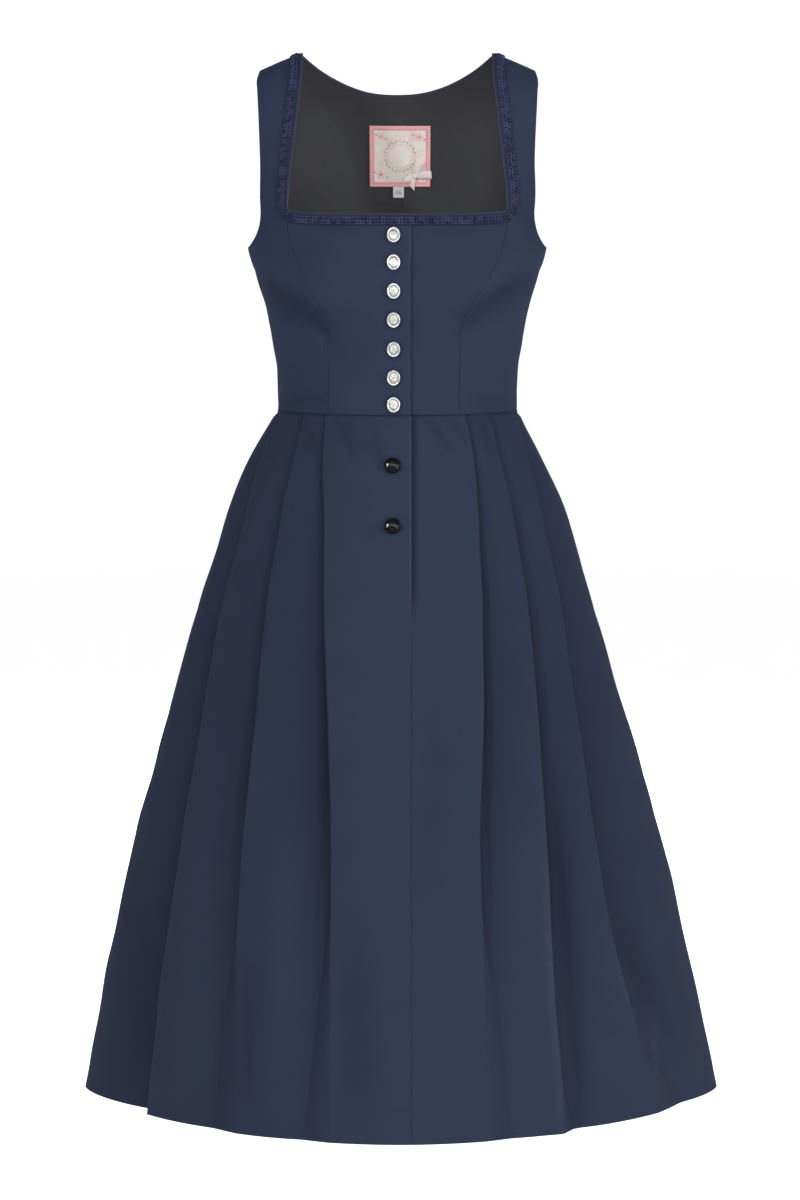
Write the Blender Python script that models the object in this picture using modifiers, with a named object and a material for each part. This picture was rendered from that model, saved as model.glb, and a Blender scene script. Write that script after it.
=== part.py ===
"""Sleeveless midi dirndl, hollow as it is worn, held up at the shoulders.

The front faces -Y. The origin lies midway between the shoulder straps, level with their neck
ends. Right and left are the wearer's, so the right side has negative X. Sizes and tables are in
millimetres. A drop is measured down from the origin, and a half width out from the centre line.
"""

import math
from collections import namedtuple

import bmesh
import bpy
import numpy as np
from mathutils import Matrix, Vector

MM = 0.001

# Which face of the dress, and which of the wearer's hands
FRONT = -1
BACK = 1
RIGHT = -1
LEFT = 1
HANDS = {"right": RIGHT, "left": LEFT}

# Walls of cloth and the clearance between pieces
BODICE_WALL = 1.5
LINING_WALL = 1.0
LINING_EASE = 0.3
SKIRT_WALL = 1.2
BRAID_WALL = 1.5
LABEL_WALL = 1.0
GAP = 0.3

# Levels
WAIST_DROP = 354.0
WAIST_FLAT = 3.0
HEM_DROP = 1045.5
STRAP_END_DROP = 150.0
UNDERARM_DROP = 192.0
CORNER_DROP = 156.0
BACK_SEAM_DROP = 115.0

# The bodice as a body of unlike half ellipses, a row for each level
Section = namedtuple("Section", "drop half front back front_power back_power")
BODICE_SECTIONS = [
    Section(0, 178.0, 0, 0, 0.80, 0.80),
    Section(20, 173.0, 36, 44, 0.80, 0.80),
    Section(45, 168.0, 52, 67, 0.80, 0.80),
    Section(80, 161.0, 66, 84, 0.80, 0.80),
    Section(120, 155.0, 81, 95, 0.80, 0.80),
    Section(160, 151.0, 96, 100, 0.80, 0.82),
    Section(192, 148.5, 105, 100, 0.82, 0.85),
    Section(221, 140.3, 109, 98, 0.85, 0.88),
    Section(246, 132.5, 108, 95, 0.88, 0.90),
    Section(275, 126.4, 103, 92, 0.92, 0.94),
    Section(306, 120.8, 97, 89, 0.97, 0.97),
    Section(330, 119.5, 94, 88, 1.00, 1.00),
    Section(354, 119.5, 93, 88, 1.00, 1.00),
]

# The bust that the darts of the princess seams give, on each side
BUST_ACROSS = 82.0
BUST_DROP = 224.0
BUST_LIFT = 15.0
BUST_WIDE = 42.0
BUST_TALL = 38.0

# The shoulder falls from the neck end of the strap to its outer end
NECK_HALF = 96.0
SHOULDER_HALF = 136.5
SHOULDER_FALL = 17.5
FALL_START = 93.0
FALL_POWER = 1.15
SHOULDER_FADE_DROP = 90.0

# Edges and seams of the bodice, as distances from the centre line
Edge = namedtuple("Edge", "drop across")
NECK_EDGE = [Edge(0, 96.0), Edge(20, 96.0), Edge(52, 99.5), Edge(84, 103.0), Edge(115, 107.0),
             Edge(135, 108.7), Edge(150, 109.4), Edge(156, 107.0)]
ARM_EDGE = [Edge(0, 136.5), Edge(15, 139.0), Edge(30, 138.3), Edge(60, 137.0), Edge(100, 135.3),
            Edge(150, 135.0), Edge(200, 128.0), Edge(250, 112.0), Edge(300, 105.0), Edge(354, 104.0)]
BACK_ARM_EDGE = [Edge(0, 136.5), Edge(15, 138.0), Edge(30, 137.0), Edge(60, 135.0), Edge(90, 133.5),
                 Edge(115, 133.0), Edge(150, 113.0), Edge(200, 88.0), Edge(250, 67.0), Edge(300, 54.0),
                 Edge(354, 48.0)]
FRONT_SEAM = {
    RIGHT: [Edge(156, 107.0), Edge(170, 107.9), Edge(194, 101.8), Edge(217, 91.0), Edge(237, 81.5),
            Edge(260, 71.5), Edge(300, 67.9), Edge(354, 68.2)],
    LEFT: [Edge(156, 107.0), Edge(170, 106.6), Edge(194, 100.9), Edge(217, 90.0), Edge(237, 78.0),
           Edge(260, 65.5), Edge(300, 61.1), Edge(354, 61.3)],
}
BACK_NECK_DROP = 40.5
BACK_NECK_POWER = 2.2
FRONT_NECK_SAG = 2.5
FRONT_NECK_POWER = 6
ARMHOLE_POWER = 2.4

# Steps for working out normals, levels and doubled points
ANGLE_STEP = 0.004
DROP_STEP = 0.5
STRIP_REACH = 0.5
HALVINGS = 30
SAME_POINT = 0.01

# Rows of the bodice's cloth, as drops, shared by the panels that meet at a seam
STRAP_DROPS = [0.0, 0.08, 3.0, 12.0, 27.0, 48.0, 72.0, 98.0, 125.0, 150.0]
FRONT_DROPS = [150.0, 156.0, 161.0, 166.0, 179.0, 194.0, 209.0, 224.0, 240.0, 258.0, 280.0, 305.0,
               330.0, 354.0]
BACK_DROPS = [0.0, 0.08, 3.0, 12.0, 28.0, 52.0, 82.0, 115.0, 140.0, 168.0, 200.0, 235.0, 272.0,
              312.0, 354.0]

# The right front laps over the left one, and the buttons stand near its middle
LAP_EDGE = 13.5
UNDERLAP_EDGE = 15.0
LAP_RISE = 10.5
BUTTON_ACROSS = 3.8

# The braid along the neckline, and how it rounds the corner
BRAID_WIDTH = 11.0
BRAID_CORNER_WIDTH = 7.6

# The skirt's plan, a row for each level
Flare = namedtuple("Flare", "drop right left front back power")
SKIRT_SECTIONS = [
    Flare(354, 119.5, 119.5, 93, 88, 1.00),
    Flare(400, 146.0, 142.0, 104, 106, 1.05),
    Flare(445, 165.5, 164.5, 114, 120, 1.10),
    Flare(490, 180.0, 178.0, 124, 130, 1.15),
    Flare(536, 195.5, 192.0, 133, 139, 1.20),
    Flare(600, 214.0, 211.0, 147, 151, 1.26),
    Flare(705, 243.0, 243.0, 168, 171, 1.34),
    Flare(781, 264.0, 265.0, 184, 186, 1.40),
    Flare(911, 292.5, 296.0, 212, 212, 1.46),
    Flare(1045.5, 318.0, 326.0, 240, 238, 1.50),
]
SKIRT_DROPS = [385.0, 420.0, 460.0, 510.0, 570.0, 650.0, 740.0, 835.0, 925.0, 990.0]

# Knife pleats that face the side seams. Each list has a value for each of PLEAT_DROPS: the share of
# the quarter's width at which the folded edge runs, how far the cloth goes back under it, and how
# deep the fold is. A lap below zero is a fold that has opened into a soft step.
PLEAT_DROPS = [354, 395, 440, 535, 635, 770, 900, 1045.5]
Pleat = namedtuple("Pleat", "share lap relief")
PLEATS = {
    (FRONT, RIGHT): [
        Pleat(share=[0.440, 0.390, 0.342, 0.287, 0.238, 0.193, 0.177, 0.172],
              lap=[24, 23, 22, 18, 14, 8, -6, -34],
              relief=[4.2, 5.5, 7, 11, 14, 15, 12, 7]),
        Pleat(share=[0.604, 0.562, 0.550, 0.532, 0.500, 0.473, 0.443, 0.407],
              lap=[21, 21, 21, 19, 15, 8, -6, -34],
              relief=[4.2, 5.5, 7, 11, 14, 16, 13, 8]),
        Pleat(share=[0.870, 0.810, 0.772, 0.767, 0.743, 0.711, 0.697, 0.675],
              lap=[22, 23, 24, 24, 22, 18, 15, 12],
              relief=[4.2, 6, 8, 12, 16, 20, 22, 20]),
    ],
    (FRONT, LEFT): [
        Pleat(share=[0.414, 0.405, 0.375, 0.338, 0.297, 0.240, 0.228, 0.217],
              lap=[24, 23, 22, 18, 14, 8, -6, -34],
              relief=[4.2, 5.5, 7, 11, 14, 15, 12, 7]),
        Pleat(share=[0.580, 0.567, 0.550, 0.537, 0.501, 0.451, 0.413, 0.395],
              lap=[20, 20, 20, 18, 15, 11, 5, -14],
              relief=[4.2, 5.5, 7, 11, 14, 15, 13, 9]),
        Pleat(share=[0.870, 0.790, 0.735, 0.711, 0.671, 0.634, 0.640, 0.720],
              lap=[22, 23, 24, 22, 19, 13, 3, -34],
              relief=[4.2, 6, 8, 12, 15, 17, 14, 8]),
    ],
    (BACK, RIGHT): [
        Pleat(share=[0.172, 0.162, 0.155, 0.152, 0.151, 0.150, 0.150, 0.148],
              lap=[22, 22, 21, 18, 14, 8, -6, -34],
              relief=[4.2, 5.5, 7, 11, 14, 15, 13, 8]),
        Pleat(share=[0.370, 0.356, 0.350, 0.354, 0.360, 0.366, 0.369, 0.368],
              lap=[23, 23, 22, 19, 15, 10, 5, -14],
              relief=[4.2, 5.5, 7, 11, 14, 16, 14, 9]),
        Pleat(share=[0.625, 0.602, 0.592, 0.592, 0.594, 0.600, 0.608, 0.618],
              lap=[23, 24, 24, 23, 20, 16, 12, 8],
              relief=[4.2, 6, 8, 12, 15, 18, 19, 18]),
    ],
    (BACK, LEFT): [
        Pleat(share=[0.172, 0.163, 0.157, 0.155, 0.155, 0.154, 0.150, 0.142],
              lap=[22, 22, 21, 18, 14, 9, 4, -14],
              relief=[4.2, 5.5, 7, 11, 14, 16, 14, 9]),
        Pleat(share=[0.376, 0.360, 0.356, 0.360, 0.367, 0.374, 0.380, 0.382],
              lap=[23, 23, 22, 19, 14, 7, -8, -34],
              relief=[4.2, 5.5, 7, 11, 14, 15, 12, 7]),
        Pleat(share=[0.632, 0.608, 0.598, 0.598, 0.600, 0.606, 0.616, 0.628],
              lap=[23, 24, 24, 23, 20, 15, 10, 6],
              relief=[4.2, 6, 8, 12, 15, 18, 18, 17]),
    ],
}
FOLD_RADIUS = 3.5
FOLD_RISE = 4
RING_SAMPLES = 241
SIDE_FRACTIONS = [0.32, 0.6, 0.82, 0.94, 1.0]
PANEL_FRACTIONS = [0.28, 0.55, 0.8]
ARC_FRACTIONS = [0.0, 1 / 3, 2 / 3, 1.0]
PLACKET_END_DROP = 540.0
SEAM_UNDERLAP = -3.0

# Turned buttons: radius and height of each point of the profile, from the top down
METAL_BUTTON = [(0, 3.4), (2.8, 3.1), (5.2, 2.1), (6.2, 2.7), (7.3, 1.8), (7.3, 0.9), (6.4, 0.0), (0, 0)]
METAL_BUTTON_OVAL = (0.92, 1.08)
METAL_BUTTON_DROPS = [177.6, 203.7, 231.3, 259.2, 288.1, 316.4, 342.9]
BLACK_BUTTON = [(0, 6.2), (3.0, 5.8), (5.6, 4.4), (7.2, 2.4), (7.6, 0.9), (6.8, 0.0), (0, 0)]
BLACK_BUTTON_DROPS = [402.0, 460.0]
BLACK_BUTTON_ACROSS = 4.8
TURN_STEPS = 12

# The neck label on the lining, its bow and the size tag below it
LABEL_CENTRE = (2.5, 101.0)
LABEL_SIDE = 62.0
LABEL_COLUMNS = 7
LABEL_EASE = 0.7
TAG_CENTRE = 1.0
TAG_WIDTH = 11.0
TAG_LENGTH = 11.0
BOW_CENTRE = (17.5, 121.0)
BOW_KNOT = 3.0
BOW_ROOT_ANGLE = 20.0
Lobe = namedtuple("Lobe", "angle reach width")
BOW_LOBES = [Lobe(5, 18.0, 7.5), Lobe(66, 16.5, 7.5), Lobe(196, 11.0, 5.0), Lobe(252, 11.5, 5.0)]

Finish = namedtuple("Finish", "red green blue roughness metallic")
FINISHES = {
    "navy cloth": Finish(0.030, 0.037, 0.078, 0.85, 0.0),
    "charcoal lining": Finish(0.048, 0.050, 0.056, 0.80, 0.0),
    "blue braid": Finish(0.026, 0.027, 0.085, 0.75, 0.0),
    "silver metal": Finish(0.62, 0.61, 0.57, 0.30, 1.0),
    "black gloss": Finish(0.006, 0.006, 0.007, 0.12, 0.0),
    "pink and beige label": Finish(0.70, 0.42, 0.38, 0.80, 0.0),
    "pale pink satin": Finish(0.83, 0.66, 0.65, 0.40, 0.0),
    "white tag": Finish(0.82, 0.82, 0.84, 0.80, 0.0),
}


class Curve:
    """A smooth line through a table's values, read at any drop."""

    def __init__(self, drops, values, rolled=False):
        self.rolled = rolled
        self.knots = np.sqrt(drops) if rolled else np.array(drops, dtype=float)
        self.values = np.array(values, dtype=float)
        self.slopes = np.gradient(self.values, self.knots)

    def __call__(self, drop):
        spot = math.sqrt(max(drop, 0.0)) if self.rolled else drop
        spot = min(max(spot, self.knots[0]), self.knots[-1])
        low = min(int(np.searchsorted(self.knots, spot, side="right")) - 1, len(self.knots) - 2)
        width = self.knots[low + 1] - self.knots[low]
        t = (spot - self.knots[low]) / width
        rise = self.values[low] * (1 + 2 * t) * (1 - t) ** 2 + self.values[low + 1] * t * t * (3 - 2 * t)
        lean = self.slopes[low] * t * (1 - t) ** 2 - self.slopes[low + 1] * t * t * (1 - t)
        return float(rise + width * lean)


def table_curve(rows, column, rolled=False):
    """The curve through one named column of a table."""
    return Curve([row.drop for row in rows], [getattr(row, column) for row in rows], rolled)


# The bodice rolls over the shoulder, so its curves run in the square root of the drop
half_width = table_curve(BODICE_SECTIONS, "half", rolled=True)
face_depth = {
    FRONT: table_curve(BODICE_SECTIONS, "front", rolled=True),
    BACK: table_curve(BODICE_SECTIONS, "back", rolled=True),
}
face_power = {
    FRONT: table_curve(BODICE_SECTIONS, "front_power", rolled=True),
    BACK: table_curve(BODICE_SECTIONS, "back_power", rolled=True),
}
neck_edge = table_curve(NECK_EDGE, "across")
arm_edge = table_curve(ARM_EDGE, "across")
back_arm_edge = table_curve(BACK_ARM_EDGE, "across")
front_seam = {hand: table_curve(rows, "across") for hand, rows in FRONT_SEAM.items()}


def bodice_surface(face, angle, drop):
    """Point of the bodice's outer surface, at an angle from the centre line in radians."""
    half = half_width(drop)
    across = half * math.sin(angle)
    turned = max(math.cos(angle), 0.0)
    depth = face_depth[face](drop) * turned ** face_power[face](drop)
    if face == FRONT:
        away = ((abs(across) - BUST_ACROSS) / BUST_WIDE) ** 2 + ((drop - BUST_DROP) / BUST_TALL) ** 2
        depth += BUST_LIFT * math.exp(-away) * turned
    out = max(0.0, (abs(across) - FALL_START) / (SHOULDER_HALF - FALL_START))
    fade = max(0.0, 1.0 - drop / SHOULDER_FADE_DROP) ** 2
    fall = SHOULDER_FALL * out ** FALL_POWER * fade
    return Vector((across, face * (depth + GAP / 2), -drop - fall))


def bodice_point(face, angle, drop, lift=0.0):
    """Point of the bodice, moved out from its outer surface by lift."""
    point = bodice_surface(face, angle, drop)
    if lift == 0.0:
        return point
    return point + bodice_normal(face, angle, drop) * lift


def bodice_normal(face, angle, drop):
    """Outward normal of the bodice's outer surface."""
    right_angle = math.pi / 2
    across = (bodice_surface(face, min(angle + ANGLE_STEP, right_angle), drop)
              - bodice_surface(face, max(angle - ANGLE_STEP, -right_angle), drop))
    down = (bodice_surface(face, angle, drop + DROP_STEP)
            - bodice_surface(face, angle, max(drop - DROP_STEP, 0.0)))
    return (down.cross(across) * -face).normalized()


def angle_at(across, drop):
    """The angle at which the bodice has a given distance from the centre line."""
    return math.asin(max(-1.0, min(1.0, across / half_width(drop))))


def strip_angle(face, angle, drop, width):
    """The angle at a given distance outward along a level of the bodice."""
    start = bodice_surface(face, angle, drop)
    near, far = angle, angle + STRIP_REACH
    for _ in range(HALVINGS):
        middle = (near + far) / 2
        if (bodice_surface(face, middle, drop) - start).length < width:
            near = middle
        else:
            far = middle
    return near


def armhole_drop(start, fraction):
    """Drop of the armhole's edge, from the end of the strap to the underarm."""
    return start + (UNDERARM_DROP - start) * math.sqrt(1 - (1 - fraction) ** ARMHOLE_POWER)


def ruled_drop(top, drops, row):
    """Drop of a row on a column that starts lower than the seam whose rows it follows."""
    share = (drops[row] - drops[0]) / (drops[-1] - drops[0])
    return top + (drops[-1] - top) * share


def sewn_drop(drop):
    """Keep the bodice's last row half a gap above the skirt."""
    return min(drop, WAIST_DROP - GAP / 2)


# Front side panels, with the front halves of the straps

ARM_FRACTIONS = [0.0, 0.45, 1.0]
UNDERARM_FRACTIONS = [0.08, 0.2, 0.38, 0.62, 0.85, 1.0]


def front_inner_edge(hand, drop):
    """Distance of the front side panel's inner edge: the neckline, then the seam."""
    return neck_edge(drop) if drop <= CORNER_DROP else front_seam[hand](drop)


def strip_width(drop):
    """Width of the panel's first strip, which carries the braid down to the corner."""
    return BRAID_WIDTH if drop <= CORNER_DROP else BRAID_CORNER_WIDTH


def front_side_row(hand, drop):
    """Angles of one row of the front side panel, as far as the line below the strap."""
    seam_gap = GAP / 2 if drop >= CORNER_DROP else 0.0
    inner = angle_at(front_inner_edge(hand, drop) + seam_gap, drop)
    strip = strip_angle(FRONT, inner, drop, strip_width(drop))
    outer = angle_at(arm_edge(drop), drop)
    return [inner] + [strip + (outer - strip) * fraction for fraction in ARM_FRACTIONS]


def front_side_blocks(hand):
    """Rows of points of the strap and of the panel below it."""
    strap = [[bodice_point(FRONT, hand * angle, drop) for angle in front_side_row(hand, drop)]
             for drop in STRAP_DROPS]
    panel = []
    for row, drop in enumerate(FRONT_DROPS):
        drop = sewn_drop(drop)
        points = [bodice_point(FRONT, hand * angle, drop) for angle in front_side_row(hand, drop)]
        for fraction in UNDERARM_FRACTIONS:
            top = armhole_drop(STRAP_END_DROP, fraction)
            level = sewn_drop(ruled_drop(top, FRONT_DROPS, row))
            start = angle_at(arm_edge(level), level)
            points.append(bodice_point(FRONT, hand * (start + (math.pi / 2 - start) * fraction), level))
        panel.append(points)
    return [strap, panel]


# Front centre panels, the right one lapping over the left one

CENTRE_FRACTIONS = [0.25, 0.52, 0.77, 0.93, 1.0]
CENTRE_DROPS = FRONT_DROPS[1:]


def neckline_drop(across):
    """Drop of the neckline's lower edge, which sags a little between its corners."""
    share = min(1.0, abs(across) / neck_edge(CORNER_DROP))
    return CORNER_DROP + FRONT_NECK_SAG * (1 - share ** FRONT_NECK_POWER)


def front_centre_columns(hand):
    """Fixed distances of the first columns, from the lapping edge towards the seam."""
    if hand == RIGHT:
        return [-LAP_EDGE, 0.0, UNDERLAP_EDGE]
    return [-UNDERLAP_EDGE, 0.0, LAP_EDGE, LAP_EDGE + LAP_RISE / 2, LAP_EDGE + LAP_RISE]


def underlap_lift(hand, across):
    """How far the left front lies in under the right one."""
    if hand == RIGHT:
        return 0.0
    rise = min(1.0, max(0.0, (across - LAP_EDGE) / LAP_RISE))
    return -(BODICE_WALL + GAP) * (1 - rise * rise * (3 - 2 * rise))


def front_centre_rows(hand):
    """Rows of points of a front centre panel, from the lapping edge to the seam."""
    fixed = front_centre_columns(hand)
    rows = []
    for row in range(len(CENTRE_DROPS)):
        points = []
        for across in fixed:
            drop = sewn_drop(ruled_drop(neckline_drop(across), CENTRE_DROPS, row))
            lift = underlap_lift(hand, across)
            points.append(bodice_point(FRONT, hand * angle_at(across, drop), drop, lift))
        seam_drop = sewn_drop(CENTRE_DROPS[row])
        seam = front_seam[hand](seam_drop) - GAP / 2
        for fraction in CENTRE_FRACTIONS:
            across = fixed[-1] + (seam - fixed[-1]) * fraction
            top = neckline_drop(across) if fraction < 1.0 else CORNER_DROP
            drop = sewn_drop(ruled_drop(top, CENTRE_DROPS, row))
            points.append(bodice_point(FRONT, hand * angle_at(across, drop), drop))
        rows.append(points)
    return rows


# Braid, laid on the first strip of the panels

def braid_pairs(hand):
    """Inner and outer edge points of the braid, from the shoulder to the front edge."""
    lift = GAP
    pairs = []
    for drop in STRAP_DROPS + FRONT_DROPS[1:2]:
        inner, outer = front_side_row(hand, drop)[:2]
        pairs.append((bodice_point(FRONT, hand * inner, drop, lift),
                      bodice_point(FRONT, hand * outer, drop, lift)))
    corner = pairs[-1][0]
    turn_drop = FRONT_DROPS[2]
    turn = front_side_row(hand, turn_drop)[1]
    pairs.append((corner, bodice_point(FRONT, hand * turn, turn_drop, lift)))
    seam_angle = angle_at(front_seam[hand](FRONT_DROPS[3]), FRONT_DROPS[3])
    pairs.append((corner, bodice_point(FRONT, hand * seam_angle, FRONT_DROPS[3], lift)))
    fixed = front_centre_columns(hand)
    fixed = [across for across in fixed if hand == RIGHT or across > LAP_EDGE]
    for fraction in reversed(CENTRE_FRACTIONS[:-1]):
        pairs.append(tuple(braid_bottom_point(hand, fixed[-1], fraction, row, lift) for row in (0, 2)))
    for across in reversed(fixed):
        pairs.append(tuple(braid_fixed_point(hand, across, row, lift) for row in (0, 2)))
    if hand == LEFT:
        pairs.append(tuple(braid_fixed_point(hand, LAP_EDGE + 2 * GAP, row, lift) for row in (0, 2)))
    return pairs


def braid_bottom_point(hand, start, fraction, row, lift):
    """Point of the braid over a column of the front centre panel that leans to the seam."""
    seam = front_seam[hand](CENTRE_DROPS[row]) - GAP / 2
    across = start + (seam - start) * fraction
    drop = ruled_drop(neckline_drop(across), CENTRE_DROPS, row)
    return bodice_point(FRONT, hand * angle_at(across, drop), drop, lift)


def braid_fixed_point(hand, across, row, lift):
    """Point of the braid over a column of the front centre panel that runs straight down."""
    drop = ruled_drop(neckline_drop(across), CENTRE_DROPS, row)
    sunk = underlap_lift(hand, across)
    return bodice_point(FRONT, hand * angle_at(across, drop), drop, lift + sunk)


# Back panels and their lining

BACK_COLUMNS = [-1.0, -0.86, -0.703, -0.64, -0.54, -0.37, -0.18, 0.0, 0.18, 0.37, 0.54, 0.64, 0.703, 0.86, 1.0]
BACK_SIDE_FRACTIONS = [0.0, 0.1, 0.26, 0.46, 0.68, 0.88, 1.0]


def back_neck_drop(across):
    """Drop of the scooped back neckline."""
    share = min(1.0, abs(across) / NECK_HALF)
    return BACK_NECK_DROP * (1 - share ** BACK_NECK_POWER)


def back_centre_rows(lift):
    """Rows of points of the back centre panel, from the wearer's right to the left."""
    rows = []
    for row in range(len(BACK_DROPS)):
        points = []
        for column in BACK_COLUMNS:
            top = back_neck_drop(column * SHOULDER_HALF)
            rolled = math.sqrt(BACK_DROPS[row] / BACK_DROPS[-1])
            drop = sewn_drop((math.sqrt(top) + (math.sqrt(BACK_DROPS[-1]) - math.sqrt(top)) * rolled) ** 2)
            seam_gap = GAP / 2 if drop > BACK_SEAM_DROP - DROP_STEP else 0.0
            across = column * (back_arm_edge(drop) - seam_gap)
            points.append(bodice_point(BACK, angle_at(across, drop), drop, lift))
        rows.append(points)
    return rows


def back_side_rows(hand, lift):
    """Rows of points of a back side panel, from the seam to the side."""
    drops = BACK_DROPS[BACK_DROPS.index(BACK_SEAM_DROP):]
    rows = []
    for row in range(len(drops)):
        points = []
        for fraction in BACK_SIDE_FRACTIONS:
            level = sewn_drop(ruled_drop(armhole_drop(BACK_SEAM_DROP, fraction), drops, row))
            start = angle_at(back_arm_edge(level) + GAP / 2, level)
            points.append(bodice_point(BACK, hand * (start + (math.pi / 2 - start) * fraction), level, lift))
        rows.append(points)
    return rows


# Skirt

flare = {
    (FRONT, RIGHT): table_curve(SKIRT_SECTIONS, "right"),
    (FRONT, LEFT): table_curve(SKIRT_SECTIONS, "left"),
    (BACK, RIGHT): table_curve(SKIRT_SECTIONS, "right"),
    (BACK, LEFT): table_curve(SKIRT_SECTIONS, "left"),
}
skirt_depth = {FRONT: table_curve(SKIRT_SECTIONS, "front"), BACK: table_curve(SKIRT_SECTIONS, "back")}
skirt_power = table_curve(SKIRT_SECTIONS, "power")


class Ring:
    """One quarter of the skirt's plan at one level, read by the distance along it."""

    def __init__(self, face, hand, level, drop):
        self.face = face
        self.hand = hand
        self.height = -drop
        angles = np.linspace(0.0, math.pi / 2, RING_SAMPLES)
        self.across = flare[face, hand](level) * np.sin(angles)
        self.depth = skirt_depth[face](level) * np.clip(np.cos(angles), 0.0, 1.0) ** skirt_power(level)
        steps = np.hypot(np.diff(self.across), np.diff(self.depth))
        self.along = np.concatenate([[0.0], np.cumsum(steps)])
        self.length = float(self.along[-1])

    def spot(self, along):
        """Distance from the centre line and depth at a distance along the ring."""
        return (float(np.interp(along, self.along, self.across)),
                float(np.interp(along, self.along, self.depth)))

    def place(self, along, inset):
        """Point at a distance along the ring, moved in from it. Past the centre line it is mirrored."""
        side = -1 if along < 0 else 1
        reach = abs(along)
        across, depth = self.spot(reach)
        before = self.spot(max(reach - 1.0, 0.0))
        after = self.spot(min(reach + 1.0, self.length))
        run = Vector((after[0] - before[0], after[1] - before[1])).normalized()
        across += run.y * inset
        depth -= run.x * inset
        return Vector((self.hand * side * across, self.face * (depth + GAP / 2), self.height))


def turned_fold(edge, lap, relief, radius):
    """The S of a knife pleat, as distance along and depth: round its edge, back under, and round again."""
    outer = (edge - radius, radius)
    inner = (edge - lap + radius, relief - radius)
    run = inner[0] - outer[0]
    fall = inner[1] - outer[1]
    turn = math.atan2(fall, run) + math.asin(min(1.0, 2 * radius / math.hypot(run, fall)))
    over = [(outer[0] + radius * math.sin(turn * part), outer[1] - radius * math.cos(turn * part))
            for part in ARC_FRACTIONS]
    under = [(inner[0] - radius * math.sin(turn * part), inner[1] + radius * math.cos(turn * part))
             for part in reversed(ARC_FRACTIONS)]
    middle = ((over[-1][0] + under[0][0]) / 2, (over[-1][1] + under[0][1]) / 2)
    return over + [middle] + under


def pleated_row(ring, level, first_columns):
    """Points of one row of a skirt quarter, from its centre edge to the side seam."""
    profile = list(first_columns)
    start, sunk = profile[-1][0], 0.0
    for pleat in PLEATS[ring.face, ring.hand]:
        edge = ring.length * Curve(PLEAT_DROPS, pleat.share)(level)
        lap = Curve(PLEAT_DROPS, pleat.lap)(level)
        relief = Curve(PLEAT_DROPS, pleat.relief)(level)
        radius = min(FOLD_RADIUS, relief / FOLD_RISE)

        def dip(along, start=start, edge=edge, sunk=sunk):
            share = min(1.0, max(0.0, (along - start) / (edge - start)))
            return sunk * (1 - share) ** 2

        for fraction in PANEL_FRACTIONS:
            along = start + (edge - radius - start) * fraction
            profile.append((along, dip(along)))
        fold = turned_fold(edge, lap, relief, radius)
        profile += [(along, depth + dip(along)) for along, depth in fold]
        floor = fold[-1][0]
        start = floor + max(edge - floor, FOLD_RISE * radius)
        middle = (floor + start) / 2
        profile.append((middle, relief + dip(middle)))
        profile.append((start, relief))
        sunk = relief
    for fraction in SIDE_FRACTIONS:
        profile.append((start + (ring.length - start) * fraction, sunk * (1 - fraction) ** 2))
    return [ring.place(along, inset) for along, inset in profile]


def skirt_rows(face, hand):
    """Rows of points of a skirt quarter, from the waist to the hem."""
    top = WAIST_DROP + GAP / 2
    levels = [(WAIST_DROP, top), (WAIST_DROP, top + WAIST_FLAT)]
    levels += [(drop, drop) for drop in SKIRT_DROPS + [HEM_DROP]]
    rows = []
    for level, drop in levels:
        ring = Ring(face, hand, level, drop)
        rows.append(pleated_row(ring, level, centre_columns(face, hand, level)))
    return rows


def centre_columns(face, hand, level):
    """First columns of a skirt quarter: the lap at the front, the seam at the back."""
    if face == BACK:
        return [(GAP / 2, 0.0)]
    if hand == RIGHT:
        return [(-LAP_EDGE, 0.0), (0.0, 0.0), (UNDERLAP_EDGE, 0.0)]
    sunk = SKIRT_WALL + GAP
    reach = UNDERLAP_EDGE if level < PLACKET_END_DROP else SEAM_UNDERLAP
    middle = (LAP_EDGE - reach) / 2 if level >= PLACKET_END_DROP else 0.0
    return [(-reach, sunk), (middle, sunk), (LAP_EDGE, sunk), (LAP_EDGE + LAP_RISE / 2, sunk / 2),
            (LAP_EDGE + LAP_RISE, 0.0)]


# Meshes and objects

def make_materials():
    """One Principled material for each finish."""
    materials = {}
    for name, finish in FINISHES.items():
        material = bpy.data.materials.new(name)
        material.use_nodes = True
        shader = material.node_tree.nodes["Principled BSDF"]
        shader.inputs["Base Color"].default_value = (finish.red, finish.green, finish.blue, 1.0)
        shader.inputs["Roughness"].default_value = finish.roughness
        shader.inputs["Metallic"].default_value = finish.metallic
        materials[name] = material
    return materials


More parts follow.
